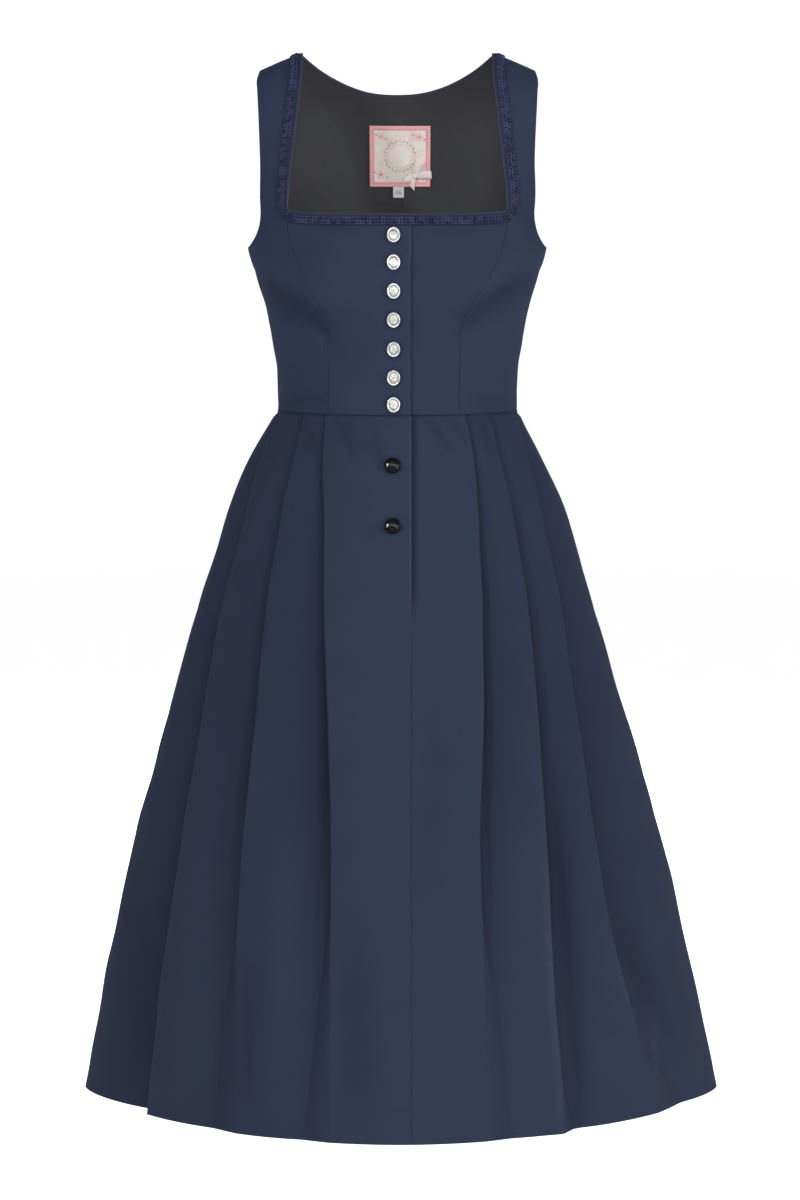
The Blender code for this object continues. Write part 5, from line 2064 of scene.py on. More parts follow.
@dataclass
class SkirtForm(CreasedForm):
    """The skirt's plan at each level, and the pleats folded into it."""

    sections: tuple[Flare, ...] = (
        Flare(354, 119.5, 119.5, 93, 88, 1.00),
        Flare(400, 146.0, 142.0, 104, 106, 1.05),
        Flare(445, 165.5, 164.5, 114, 120, 1.10),
        Flare(490, 180.0, 178.0, 124, 130, 1.15),
        Flare(536, 195.5, 192.0, 133, 139, 1.20),
        Flare(600, 214.0, 211.0, 147, 151, 1.26),
        Flare(705, 243.0, 243.0, 168, 171, 1.34),
        Flare(781, 264.0, 265.0, 184, 186, 1.40),
        Flare(911, 292.5, 296.0, 212, 212, 1.46),
        Flare(1045.5, 318.0, 326.0, 240, 238, 1.50),
    )
    levels: tuple[float, ...] = (354, 395, 440, 535, 635, 770, 900, 1045.5)
    front_right: tuple[Pleat, ...] = (
        Pleat((0.440, 0.390, 0.342, 0.287, 0.238, 0.193, 0.177, 0.172), (24, 23, 22, 18, 14, 5, -7, -14),
              (4.2, 5.5, 7, 11, 14, 14, 8, 4.5)),
        Pleat((0.604, 0.562, 0.550, 0.532, 0.500, 0.473, 0.443, 0.407), (21, 21, 21, 19, 15, 4, -8, -15),
              (4.2, 5.5, 7, 11, 14, 14, 9, 5)),
        Pleat((0.870, 0.810, 0.772, 0.767, 0.743, 0.711, 0.697, 0.675), (22, 23, 24, 24, 22, 18, 15, 12),
              (4.2, 6, 8, 12, 16, 20, 22, 20)),
    )
    front_left: tuple[Pleat, ...] = (
        Pleat((0.414, 0.405, 0.375, 0.338, 0.297, 0.240, 0.228, 0.217), (24, 23, 22, 18, 14, 4, -8, -14),
              (4.2, 5.5, 7, 11, 14, 13, 7, 3.5)),
        Pleat((0.580, 0.567, 0.550, 0.537, 0.501, 0.451, 0.414, 0.404), (20, 20, 20, 18, 15, 11, 5, -10),
              (4.2, 5.5, 7, 11, 14, 15, 13, 9)),
        Pleat((0.870, 0.790, 0.735, 0.711, 0.671, 0.634, 0.640, 0.720), (22, 23, 24, 22, 19, 13, 2, -22),
              (4.2, 6, 8, 12, 15, 17, 13, 7)),
    )
    back_right: tuple[Pleat, ...] = (
        Pleat((0.172, 0.162, 0.155, 0.152, 0.151, 0.150, 0.150, 0.148), (22, 22, 21, 18, 14, 5, -7, -14),
              (4.2, 5.5, 7, 11, 14, 14, 9, 5)),
        Pleat((0.370, 0.356, 0.350, 0.354, 0.360, 0.366, 0.369, 0.368), (23, 23, 22, 19, 15, 10, 5, -14),
              (4.2, 5.5, 7, 11, 14, 16, 14, 9)),
        Pleat((0.625, 0.602, 0.592, 0.592, 0.594, 0.600, 0.608, 0.618), (23, 24, 24, 23, 20, 16, 12, 8),
              (4.2, 6, 8, 12, 15, 18, 19, 18)),
    )
    back_left: tuple[Pleat, ...] = (
        Pleat((0.172, 0.163, 0.157, 0.155, 0.155, 0.154, 0.150, 0.142), (22, 22, 21, 18, 14, 9, 4, -14),
              (4.2, 5.5, 7, 11, 14, 16, 14, 9)),
        Pleat((0.376, 0.360, 0.356, 0.360, 0.367, 0.374, 0.380, 0.382), (23, 23, 22, 19, 14, 5, -8, -15),
              (4.2, 5.5, 7, 11, 14, 14, 8, 5)),
        Pleat((0.632, 0.608, 0.598, 0.598, 0.600, 0.606, 0.616, 0.628), (23, 24, 24, 23, 20, 15, 10, 6),
              (4.2, 6, 8, 12, 15, 18, 18, 17)),
    )
    fold_radius: float = 1.9
    open_radius: float = 16.0
    open_lap: float = 34.0
    ground_reach: float = 14.0
    ring_samples: int = 241
    seam_strip: float = 0.6
    placket_fade: tuple[float, float] = (510.0, 570.0)
    waist_fade: float = 14.0
    # Crease heights at which the painted highlight and the painted shade are full.
    high_crease: float = 2.0
    deep_crease: float = 4.0
    # Strength of the painted shade beside folds, by how far they lap.
    least_shade: float = 0.2
    shade_laps: tuple[float, float] = (-24.0, 10.0)
    # Rubbing and painted highlight along folded edges: the laps over which they sharpen, and how many
    # columns they cover.
    crisp_laps: tuple[float, float] = (-14.0, 12.0)
    pressed_columns: float = 2.2
    # Painted shade on the panel beyond each fold, near the fold and broad.
    shade_start: float = 3.0
    shade_growth: float = 0.60
    broad_shade: float = 58.0
    broad_share: float = 0.52
    full_relief: float = 15.0
    # Painted highlight streak on the panel just before each fold's edge, growing between the band's drops.
    band_rub: float = 0.45
    band_width: float = 13.0
    band_drops: tuple[float, float] = (640.0, 960.0)
    seam_depth: float = 0.5
    lap_columns: tuple[float, ...] = (0.0, 0.7, 1.6)
    lap_flat: float = 3.0
    flat_columns: int = 9
    rise_columns: int = 7
    panel_columns: int = 20
    side_columns: int = 26
    seam_roll: tuple[tuple[float, float], ...] = ((0.0, 0.28), (0.5, 0.08), (1.2, 0.0))
    placket_gap: float = 0.06
    arc_columns: int = 7
    under_columns: int = 5
    floor_columns: int = 6
    front_creases: tuple[Crease, ...] = crease_table(
        (-64, 354, -42, 398, -1.5, 4.5, 2.0), (-52, 352, -24, 390, -1.6, 4.0, -2.0),
        (-44, 358, -34, 380, 1.0, 4.0, 0.0), (-30, 354, -16, 408, -1.1, 5.5, 2.0),
        (-100, 352, -84, 392, -1.6, 6.0, 2.0), (30, 352, 60, 394, -1.4, 4.5, -2.0),
        (46, 354, 72, 386, -1.2, 4.0, 2.0), (22, 354, 42, 372, -1.0, 4.0, 0.0),
        (82, 352, 98, 400, -1.4, 6.0, -2.0), (-138, 440, -186, 592, 0.8, 7.0, 0.0),
        (-38, 470, -8, 462, -0.7, 6.0, 1.0), (24, 520, 44, 590, 0.8, 12.0, 3.0),
        (-30, 560, -22, 800, 0.9, 22.0, -4.0), (36, 600, 30, 860, -0.9, 24.0, 5.0),
        (-46, 820, -40, 1030, -1.1, 20.0, 4.0), (52, 800, 60, 1035, 1.2, 22.0, -5.0),
        (-108, 700, -130, 1030, 1.6, 18.0, 5.0), (-140, 860, -150, 1040, -1.6, 13.0, -3.0),
        (112, 690, 120, 1035, 0.8, 14.0, -5.0), (138, 700, 161, 1100, 3.2, 8.0, 0.0),
        (160, 700, 188, 1070, -2.0, 9.0, 0.0), (-200, 720, -222, 1040, 1.6, 16.0, 5.0),
        (206, 860, 264, 1000, 3.0, 7.0, -3.0), (258, 935, 262, 1026, 2.4, 5.0, 0.0),
        (228, 850, 274, 976, -1.9, 9.0, -2.0), (-262, 800, -284, 1040, -1.6, 15.0, 3.0),
        (-18, 1012, 16, 1014, -0.5, 3.0, 0.0), (60, 1008, 72, 1012, -0.5, 3.0, 0.0))
    back_creases: tuple[Crease, ...] = crease_table(
        (-26, 370, -6, 392, -1.0, 6.0, 1.0), (34, 372, 12, 396, 0.8, 6.0, 0.0),
        (-24, 620, -16, 900, 1.2, 20.0, 4.0), (30, 660, 24, 980, -1.1, 22.0, -4.0),
        (-96, 760, -104, 1040, -1.5, 17.0, 3.0), (88, 720, 104, 1036, 1.6, 18.0, -4.0),
        (-170, 780, -186, 1038, 1.6, 17.0, 5.0), (176, 800, 196, 1040, -1.6, 16.0, -3.0),
        (-232, 860, -250, 1036, -1.8, 13.0, 2.0), (236, 830, 256, 1032, 1.8, 14.0, -3.0),
        (-14, 1010, 30, 1013, -0.5, 3.0, 0.0))
    front_waves: Unevenness = Unevenness(size=95.0, height=0.45, seed=21)
    back_waves: Unevenness = Unevenness(size=95.0, height=0.5, seed=22)

    def __post_init__(self) -> None:
        """Read the tables into curves."""
        self.halves = {hand: table_curve(self.sections, hand.word) for hand in Hand}
        self.depths = {face: table_curve(self.sections, face.word) for face in Face}
        self.power = table_curve(self.sections, "power")
        tables = {(Face.FRONT, Hand.RIGHT): self.front_right, (Face.FRONT, Hand.LEFT): self.front_left,
                  (Face.BACK, Hand.RIGHT): self.back_right, (Face.BACK, Hand.LEFT): self.back_left}
        self.pleats = {key: [[Curve(self.levels, column) for column in pleat] for pleat in table]
                       for key, table in tables.items()}

    def turned_fold(self, edge: float, lap: float, relief: float, radius: float) -> Array:
        """The S of a knife pleat: round its edge, back under, and round again.

        Args:
            edge: Distance along the ring of the folded edge.
            lap: How far the cloth goes back under it.
            relief: How deep the fold is.
            radius: Radius of both turns.

        Returns:
            Distances along and depths, a row each.
        """
        outer, inner = np.array([edge - radius, radius]), np.array([edge - lap + radius, relief - radius])
        run, fall = inner - outer
        turn = math.atan2(fall, run) + math.asin(min(1.0, 2 * radius / math.hypot(run, fall)))
        parts = turn * np.linspace(0.0, 1.0, self.arc_columns)[:, None]
        arc = np.concatenate([np.sin(parts), -np.cos(parts)], 1) * radius
        over, under = outer + arc, inner - arc[::-1]
        shares = np.linspace(0.0, 1.0, self.under_columns + 2)[1:-1, None]
        return np.concatenate([over, over[-1] + (under[0] - over[-1]) * shares, under])

    def centre_columns(self, face: Face, hand: Hand, level: float) -> Array:
        """First columns of a quarter: the lap at the front, the seam at the back.

        Args:
            face: Front or back.
            hand: The side of the dress.
            level: The drop at which the tables are read.

        Returns:
            Distances along the ring with depths, a row each.
        """
        if face is Face.BACK:
            return np.array(self.seam_roll)
        if hand is Hand.RIGHT:
            flat = np.linspace(self.lap_flat - PATTERN.lap_edge, PATTERN.underlap_edge, self.flat_columns)
            along = np.concatenate([-PATTERN.lap_edge + np.array(self.lap_columns), flat])
            return np.stack([along, np.zeros_like(along)], 1)
        open_share = self._open_share(level)
        beside = PATTERN.lap_edge + self.placket_gap
        reach = (PATTERN.underlap_edge + beside) * open_share - beside
        flat = np.linspace(-reach, beside + self.seam_strip * (1.0 - open_share), self.flat_columns)
        rise = np.linspace(0.0, 1.0, self.rise_columns)[1:]
        along = np.concatenate([flat, flat[-1] + PATTERN.lap_rise * rise])
        sunk = np.concatenate([np.ones_like(flat), 1.0 - smooth_step(rise)]) * (PATTERN.skirt_wall + GAP)
        return np.stack([along, sunk * open_share], 1)

    def _open_share(self, level: float) -> float:
        """How far the placket is open at a level, from 1 at its top to 0 below its end."""
        return 1.0 - eased(level, *self.placket_fade)

    def _edge_press(self, face: Face, hand: Hand, along: Array, level: float) -> Array:
        """How much painted highlight lightens the placket's top edge, down to the placket's end.

        Args:
            face: Front or back.
            hand: The side of the dress.
            along: Distances along the ring.
            level: The drop at which the tables are read.

        Returns:
            A value for each distance.
        """
        if face is Face.BACK or hand is Hand.LEFT:
            return np.zeros_like(along)
        return EDGE_HIGHLIGHT.at(along + PATTERN.lap_edge) * self._open_share(level)

    def _folded(self, face: Face, hand: Hand, level: float, length: float) -> tuple[Array, Array, Array]:
        """Columns of one row, flat panels and folds in turn.

        Args:
            face: Front or back.
            hand: Right or left.
            level: The drop at which the tables are read.
            length: Distance along the ring from the centre line to the side seam.

        Returns:
            Distances along the ring with depths in from it, how much rubbing and painted highlight lighten
            each column, and how much painted shade darkens it.
        """
        centre = self.centre_columns(face, hand, level)
        parts = [centre]
        lightening = [self._edge_press(face, hand, centre[:, 0], level)]
        # Painted shade in the back seam's groove and where the left front lies under the lap.
        painted_shade_parts = [np.clip(centre[:, 1] / PATTERN.skirt_wall, 0.0, 1.0) ** 2]
        start, sunk, last = centre[-1, 0], 0.0, None
        band_growth = eased(level, *self.band_drops)
        for curves in self.pleats[face, hand]:
            share, lap, relief = (float(curve(level)) for curve in curves)
            edge = length * share
            radius = min(self.fold_radius, relief / 4.0) + self.open_radius * eased(-lap, 0.0, self.open_lap)
            panel = np.linspace(start, edge - radius, self.panel_columns + 1)[1:]
            fold = self.turned_fold(edge, lap, relief, radius)
            floor = fold[-1, 0]
            following = floor + max(edge - floor, min(self.ground_reach, relief))
            ground = np.linspace(floor, following, self.floor_columns + 1)[1:]
            run = np.concatenate([panel, fold[1:, 0], ground])
            dip = sunk * (1 - np.clip((run - start) / (edge - start), 0.0, 1.0)) ** 2
            inset = np.concatenate([np.zeros(len(panel)), fold[1:, 1], np.full(len(ground), relief)])
            inset[:-1] += dip[:-1]
            parts.append(np.stack([run, inset], 1))
            # Rubbing and painted highlight at the fold's edge, and a painted highlight streak before it
            # lower down.
            near = np.exp(-((np.arange(len(run)) - len(panel) - 1) / self.pressed_columns) ** 2)
            band = np.where(run <= edge, np.exp(-((edge - run) / self.band_width) ** 2), 0.0)
            crisp = share_between(lap, self.crisp_laps)
            lightening.append(near * crisp + self.band_rub * band_growth * band)
            # Painted shade inside the fold and on the panels beside it.
            strength = max(share_between(lap, self.shade_laps), self.least_shade)
            this = Fold(max(edge, floor), strength, relief)
            turned = strength * np.clip(fold[1:, 1] / relief, 0.0, 1.0)
            painted_shade_parts.append(np.concatenate([self._fold_shade(panel, last), turned,
                                          self._fold_shade(ground, this)]))
            start, sunk, last = following, relief, this
        share = np.linspace(0.0, 1.0, self.side_columns + 1)[1:]
        roll = np.array(self.seam_roll)[::-1]
        side = np.stack([start + (length - roll[0, 0] - start) * share, sunk * (1 - share) ** 2], 1)
        parts.append(np.concatenate([side, np.stack([length - roll[1:, 0], roll[1:, 1]], 1)]))
        lightening.append(np.zeros(len(parts[-1])))
        painted_shade_parts.append(self._fold_shade(parts[-1][:, 0], last))
        return np.concatenate(parts), np.concatenate(lightening), np.concatenate(painted_shade_parts)

    def row(self, face: Face, hand: Hand, level: float, drop: float) -> tuple[Array, Array, Array]:
        """One row of a quarter, from its centre edge to the side seam.

        Args:
            face: Front or back.
            hand: Right or left.
            level: The drop at which the tables are read.
            drop: The drop at which the row lies.

        Returns:
            Points, distances along the cloth, and marks.
        """
        turns = np.linspace(0.0, math.pi / 2, self.ring_samples)
        across = self.halves[hand](level) * np.sin(turns)
        depth = self.depths[face](level) * np.clip(np.cos(turns), 0.0, 1.0) ** self.power(level)
        ring = travelled(across, depth)
        profile, lightening, deep = self._folded(face, hand, level, ring[-1])

        def at(distance: Array) -> Array:
            """Across and depth at distances along the ring."""
            return np.stack([np.interp(distance, ring, across), np.interp(distance, ring, depth)], 1)

        reach = np.abs(profile[:, 0])
        run = unit(at(np.minimum(reach + 1.0, ring[-1])) - at(np.maximum(reach - 1.0, 0.0)))
        spot = at(reach)
        signed = np.where(profile[:, 0] < 0, -1.0, 1.0) * hand.value
        swell = self.wavy(face, spot[:, 0] * signed, drop)
        inset = profile[:, 1] - swell * eased(drop, PATTERN.waist_drop, PATTERN.waist_drop + self.waist_fade)
        points = np.stack([signed * (spot[:, 0] + run[:, 1] * inset),
                           face.value * (spot[:, 1] - run[:, 0] * inset),
                           np.full(len(profile), -drop)], 1)
        buttons = (PATTERN.black_spots, (PATTERN.black_radius, PATTERN.black_radius))
        # Painted highlight and painted shade of creases, the waist seam and buttons, on top of the folds'
        # painted shade.
        marks = self.cloth_marks(face, spot[:, 0] * signed, drop, deep, buttons)
        marks[:, 0] += lightening
        return points, travelled(*profile.T), marks

    def _fold_shade(self, run: Array, fold: Fold | None) -> Array:
        """How much painted shade darkens a panel beside the fold before it, if there is one.

        Args:
            run: Distances along the ring.
            fold: The fold before the panel.

        Returns:
            A value from 0 to 1 for each distance.
        """
        if fold is None:
            return np.zeros_like(run)
        away = np.maximum(run - fold.end, 0.0)
        near = np.exp(-(away / (self.shade_start + self.shade_growth * fold.relief)) ** 1.2)
        broad = np.exp(-(away / self.broad_shade) ** 2) * min(fold.relief / self.full_relief, 1.0)
        return fold.strength * ((1.0 - self.broad_share) * near + self.broad_share * broad)


@dataclass
class Skirt:
    """Four pleated quarters with a turned hem."""

    form: SkirtForm
    rows: int = 172
    waist_flat: float = 3.0
    half_wall: float = 0.5
    hem_turn: float = 32.0
    hem_wall: float = 1.1
    pick_rise: float = 1.5
    pick_sink: float = 0.05
    cuts: dict[Face, Cut] = field(default_factory=lambda: {
        Face.FRONT: Cut(560.0, 725.0, 0.74),
        Face.BACK: Cut(560.0, 725.0, 0.74),
    })

    def build(self, maker: Maker, rows: RowKit) -> None:
        """Make every quarter and the hem's blind stitches.

        Args:
            maker: The piece maker.
            rows: The trees that set rows of things.
        """
        for face in Face:
            for hand in Hand:
                self._quarter(maker, face, hand)
        self._hem_stitches(maker, rows)

    def _quarter(self, maker: Maker, face: Face, hand: Hand) -> None:
        """Make one quarter of the skirt.

        Args:
            maker: The piece maker.
            face: Front or back.
            hand: The side of the dress.
        """
        top = PATTERN.waist_drop + GAP / 2
        drops = np.concatenate([[top, top + self.waist_flat],
                                np.linspace(top + self.waist_flat, PATTERN.hem_drop, self.rows)[1:]])
        levels = np.where(drops <= top + self.waist_flat, PATTERN.waist_drop, drops)
        made = [self.form.row(face, hand, float(level), float(drop)) for level, drop in zip(levels, drops)]
        points, along, marks = (np.stack(column) for column in zip(*made))
        cloth_map = np.stack([along, np.broadcast_to(drops[:, None], along.shape)], -1) * MM
        sheet = Sheet().add_grid(points, cloth_map, marks, face.value * hand.value > 0)
        welded = sheet.welded()[0]
        turned = smooth_step((-welded[:, 2] - (PATTERN.hem_drop - self.hem_turn)) / 2.0)
        low = -self.half_wall - (self.hem_wall - self.half_wall) * turned
        word = f"{face.word}_{hand.word}"
        piece = maker.cloth(f"cloth_skirt_{word}", sheet.shell(low, self.half_wall), "navy", "navy",
                            "navy_cloth", [f"skirt_{word}"])
        above = "back_centre" if face is Face.BACK else f"front_centre_{hand.word}"
        self.cuts[face].declare(piece, "hung", [f"cloth_{above}"])

    def _hem_stitches(self, maker: Maker, rows: RowKit) -> None:
        """Tiny picks of thread where the turned hem is caught.

        Args:
            maker: The piece maker.
            rows: The trees that set rows of things.
        """
        drop = PATTERN.hem_drop - self.hem_turn + self.pick_rise
        lanes = []
        for face in Face:
            for hand in Hand:
                points = self.form.row(face, hand, drop, drop)[0]
                run = np.gradient(points, axis=0)
                outward = unit(np.cross(run, (0.0, 0.0, 1.0)) * (-face.value * hand.value))
                lanes.append((points + outward * (self.half_wall - self.pick_sink), outward, 1.0))
        rows.run(maker, rows.stitches, "hem_picks", lanes, "navy", "navy_cloth",
                 pitch=9.0, length=1.6, width=0.5, strand=0.4, slant=90.0, tilt=0.0)


# Buttons


def button_axes(normal: Array) -> Array:
    """Axes, as rows, of a button that stands upright on the cloth and faces along its normal."""
    upward = unit(np.array([0.0, 0.0, 1.0]) - normal * normal[2])
    return np.stack([np.cross(upward, normal), upward, normal])


@dataclass
class MetalButtons:
    """Cast oval buttons down the bodice: a bright rim, a groove and a small flower in relief."""

    form: BodiceForm
    wide: float = 0.92
    tall: float = 1.08
    radius: float = 7.3
    field_radius: float = 4.4
    rings: tuple[int, int] = (26, 22)
    around: int = 88
    petals: int = 5
    petal_reach: tuple[float, float] = (0.50, 0.92)
    petal_edge: float = 0.16
    petal_start: float = 0.20
    petal_start_edge: float = 0.12
    petal_height: float = 0.75
    vein_width: float = 0.16
    vein_depth: float = 0.30
    heart_reach: float = 0.24
    heart_edge: float = 0.08
    heart_height: float = 0.95
    beads: int = 22
    bead_reach: float = 1.03
    bead_width: float = 0.07
    bead_height: float = 0.14
    field_reach: float = 1.12
    field_edge: float = 0.1
    field_hollow: float = 0.45
    cleared_by: float = 1.6
    groove_radius: float = 4.85
    groove_width: float = 0.36
    slot_half: tuple[float, float] = (0.24, 0.10)
    slot_hollow: float = 0.8
    back_hollow: float = 0.6
    turns: tuple[float, ...] = (0.0, 4.0, -28.0, 12.0, -9.0, 31.0, 6.0)
    profile: tuple[tuple[float, float], ...] = (
        (0.0, 2.2), (3.4, 2.0), (4.3, 1.75), (4.7, 1.45), (5.0, 1.5), (5.3, 2.1), (5.7, 2.55), (6.2, 2.75),
        (6.7, 2.65), (7.05, 2.25), (7.3, 1.7))
    back: tuple[tuple[float, float], ...] = (
        (7.3, 1.0), (7.0, 0.45), (6.4, 0.25), (2.4, 0.2), (2.2, 0.0), (0.0, 0.0))

    def build(self, maker: Maker) -> None:
        """Make every metal button.

        Args:
            maker: The piece maker.
        """
        radii, heights, hollow = self._relief()
        points, quads = turned_body(radii, heights, self.around, (0, -1))
        for number, (across, drop) in enumerate(PATTERN.metal_spots):
            angle = self.form.angle_at(np.array(across), np.array(drop))
            place = self.form.point(Face.FRONT, angle, np.array(drop), GAP)
            normal = self.form.normal(Face.FRONT, angle, np.array(drop))
            spun = math.radians(self.turns[number])
            spin = np.array([[math.cos(spun), math.sin(spun), 0], [-math.sin(spun), math.cos(spun), 0],
                             [0, 0, 1]])
            stood = place + (points @ spin * (self.wide, self.tall, 1.0)) @ button_axes(normal)
            maker.solid(f"silver_button_{number + 1}", (stood, quads), "silver", "silver_metal",
                        [f"button_metal_{number + 1}"], Hollow=hollow)

    def _relief(self) -> tuple[Array, Array, Array]:
        """Rings of the button's face and back.

        Returns:
            Radii, heights round each ring, and how hollow each point is.
        """
        spots, back = np.array(self.profile), np.array(self.back)
        radii = np.concatenate([np.linspace(0.0, self.field_radius, self.rings[0]),
                                np.linspace(self.field_radius + 0.1, self.radius, self.rings[1])])
        base = np.interp(radii, spots[:, 0], spots[:, 1])
        soft = np.convolve(np.pad(base, 1, mode="edge"), (0.25, 0.5, 0.25), "valid")[:, None]
        turns = np.arange(self.around) * 2.0 * math.pi / self.around
        reach = radii[:, None] / self.field_radius
        lobe = np.abs(np.cos(turns * self.petals / 2.0))[None, :]
        low, high = self.petal_reach
        petal = smooth_step((low + (high - low) * lobe - reach) / self.petal_edge)
        petal = petal * smooth_step((reach - self.petal_start) / self.petal_start_edge)
        vein = np.exp(-((np.sin(turns * self.petals / 2.0) / self.vein_width) ** 2))[None, :] * petal
        heart = smooth_step((self.heart_reach - reach) / self.heart_edge)
        bead = np.exp(-(((reach - self.bead_reach) / self.bead_width) ** 2))
        bead = bead * (0.5 + 0.5 * np.cos(turns * self.beads))[None, :]
        raised = (self.petal_height * petal - self.vein_depth * vein + self.heart_height * heart
                  + self.bead_height * bead)
        inside = smooth_step((self.field_reach - reach) / self.field_edge)
        hollow = self.field_hollow * np.clip(1.0 - raised * self.cleared_by, 0.0, 1.0) * inside
        groove = np.exp(-(((radii - self.groove_radius) / self.groove_width) ** 2))[:, None]
        slot = np.exp(-((reach * np.cos(turns) / self.slot_half[0]) ** 2)
                      - (reach * np.sin(turns) / self.slot_half[1]) ** 2)
        hollow = np.clip(hollow + groove + self.slot_hollow * slot, 0.0, 1.0)
        round_it = np.ones((1, self.around))
        heights = np.concatenate([soft + raised * inside, back[:, 1:] * round_it])
        hollow = np.concatenate([hollow, self.back_hollow * np.ones_like(back[:, 1:]) * round_it])
        return np.concatenate([radii, back[:, 0]]), heights, hollow.reshape(-1)


@dataclass
class BlackButtons:
    """Glossy round buttons on the skirt's placket, with a raised ring round a dished centre."""

    form: SkirtForm
    around: int = 72
    face_rings: int = 44
    dish_radius: float = 3.6
    dish_fade: float = 1.6
    profile: tuple[tuple[float, float], ...] = (
        (0.0, 5.00), (1.0, 5.02), (2.0, 5.12), (2.6, 5.32), (3.0, 5.44), (3.4, 5.41), (4.0, 5.245),
        (4.8, 5.005), (5.6, 4.765), (6.3, 4.55), (6.8, 4.15), (7.2, 3.40), (7.45, 2.6), (7.6, 1.7),
        (7.55, 0.9), (7.1, 0.3), (6.0, 0.05), (0.0, 0.0))

    def build(self, maker: Maker) -> None:
        """Make both buttons.

        Args:
            maker: The piece maker.
        """
        table = np.array(self.profile)
        length = travelled(*table.T)
        top = int(np.argmax(table[:, 0])) + 3
        spots = np.concatenate([np.linspace(0.0, length[top], self.face_rings), length[top + 1:]])
        radii, heights = (np.interp(spots, length, table[:, axis]) for axis in (0, 1))
        for column in (radii, heights):
            column[1:-1] = column[:-2] * 0.25 + column[1:-1] * 0.5 + column[2:] * 0.25
        points, quads = turned_body(radii, heights, self.around, (0, -1))
        hollow = np.repeat(smooth_step((self.dish_radius - radii) / self.dish_fade), self.around)
        for number, (across, drop) in enumerate(PATTERN.black_spots):
            rows = [self.form.row(Face.FRONT, Hand.RIGHT, level, level)[0] for level in (drop, drop + 1.0)]
            column = int(np.argmin(np.abs(rows[0][:, 0] - across)))
            beside, down = rows[0][column + 1] - rows[0][column], rows[1][column] - rows[0][column]
            normal = unit(np.cross(beside, down))
            place = rows[0][column] + normal * (PATTERN.skirt_wall / 2 + GAP)
            place[0] = across
            maker.solid(f"gloss_button_{number + 1}", (place + points @ button_axes(normal), quads), "black",
                        "black_gloss", [f"button_black_{number + 1}"], Hollow=hollow)


# Neck label with its bow and tag


class Motif(Enum):
    """Shapes of the label's pattern."""

    BLOSSOM = "blossom"
    LEAF = "leaf"
    BUD = "bud"


class Sprig(NamedTuple):
    """One shape of the label's pattern, in millimetres from the label's middle."""

    motif: Motif
    across: float
    up: float
    size: float
    turn: float


class Lobe(NamedTuple):
    """A loop or tail of the bow."""

    angle: float
    reach: float
    width: float
    looped: bool


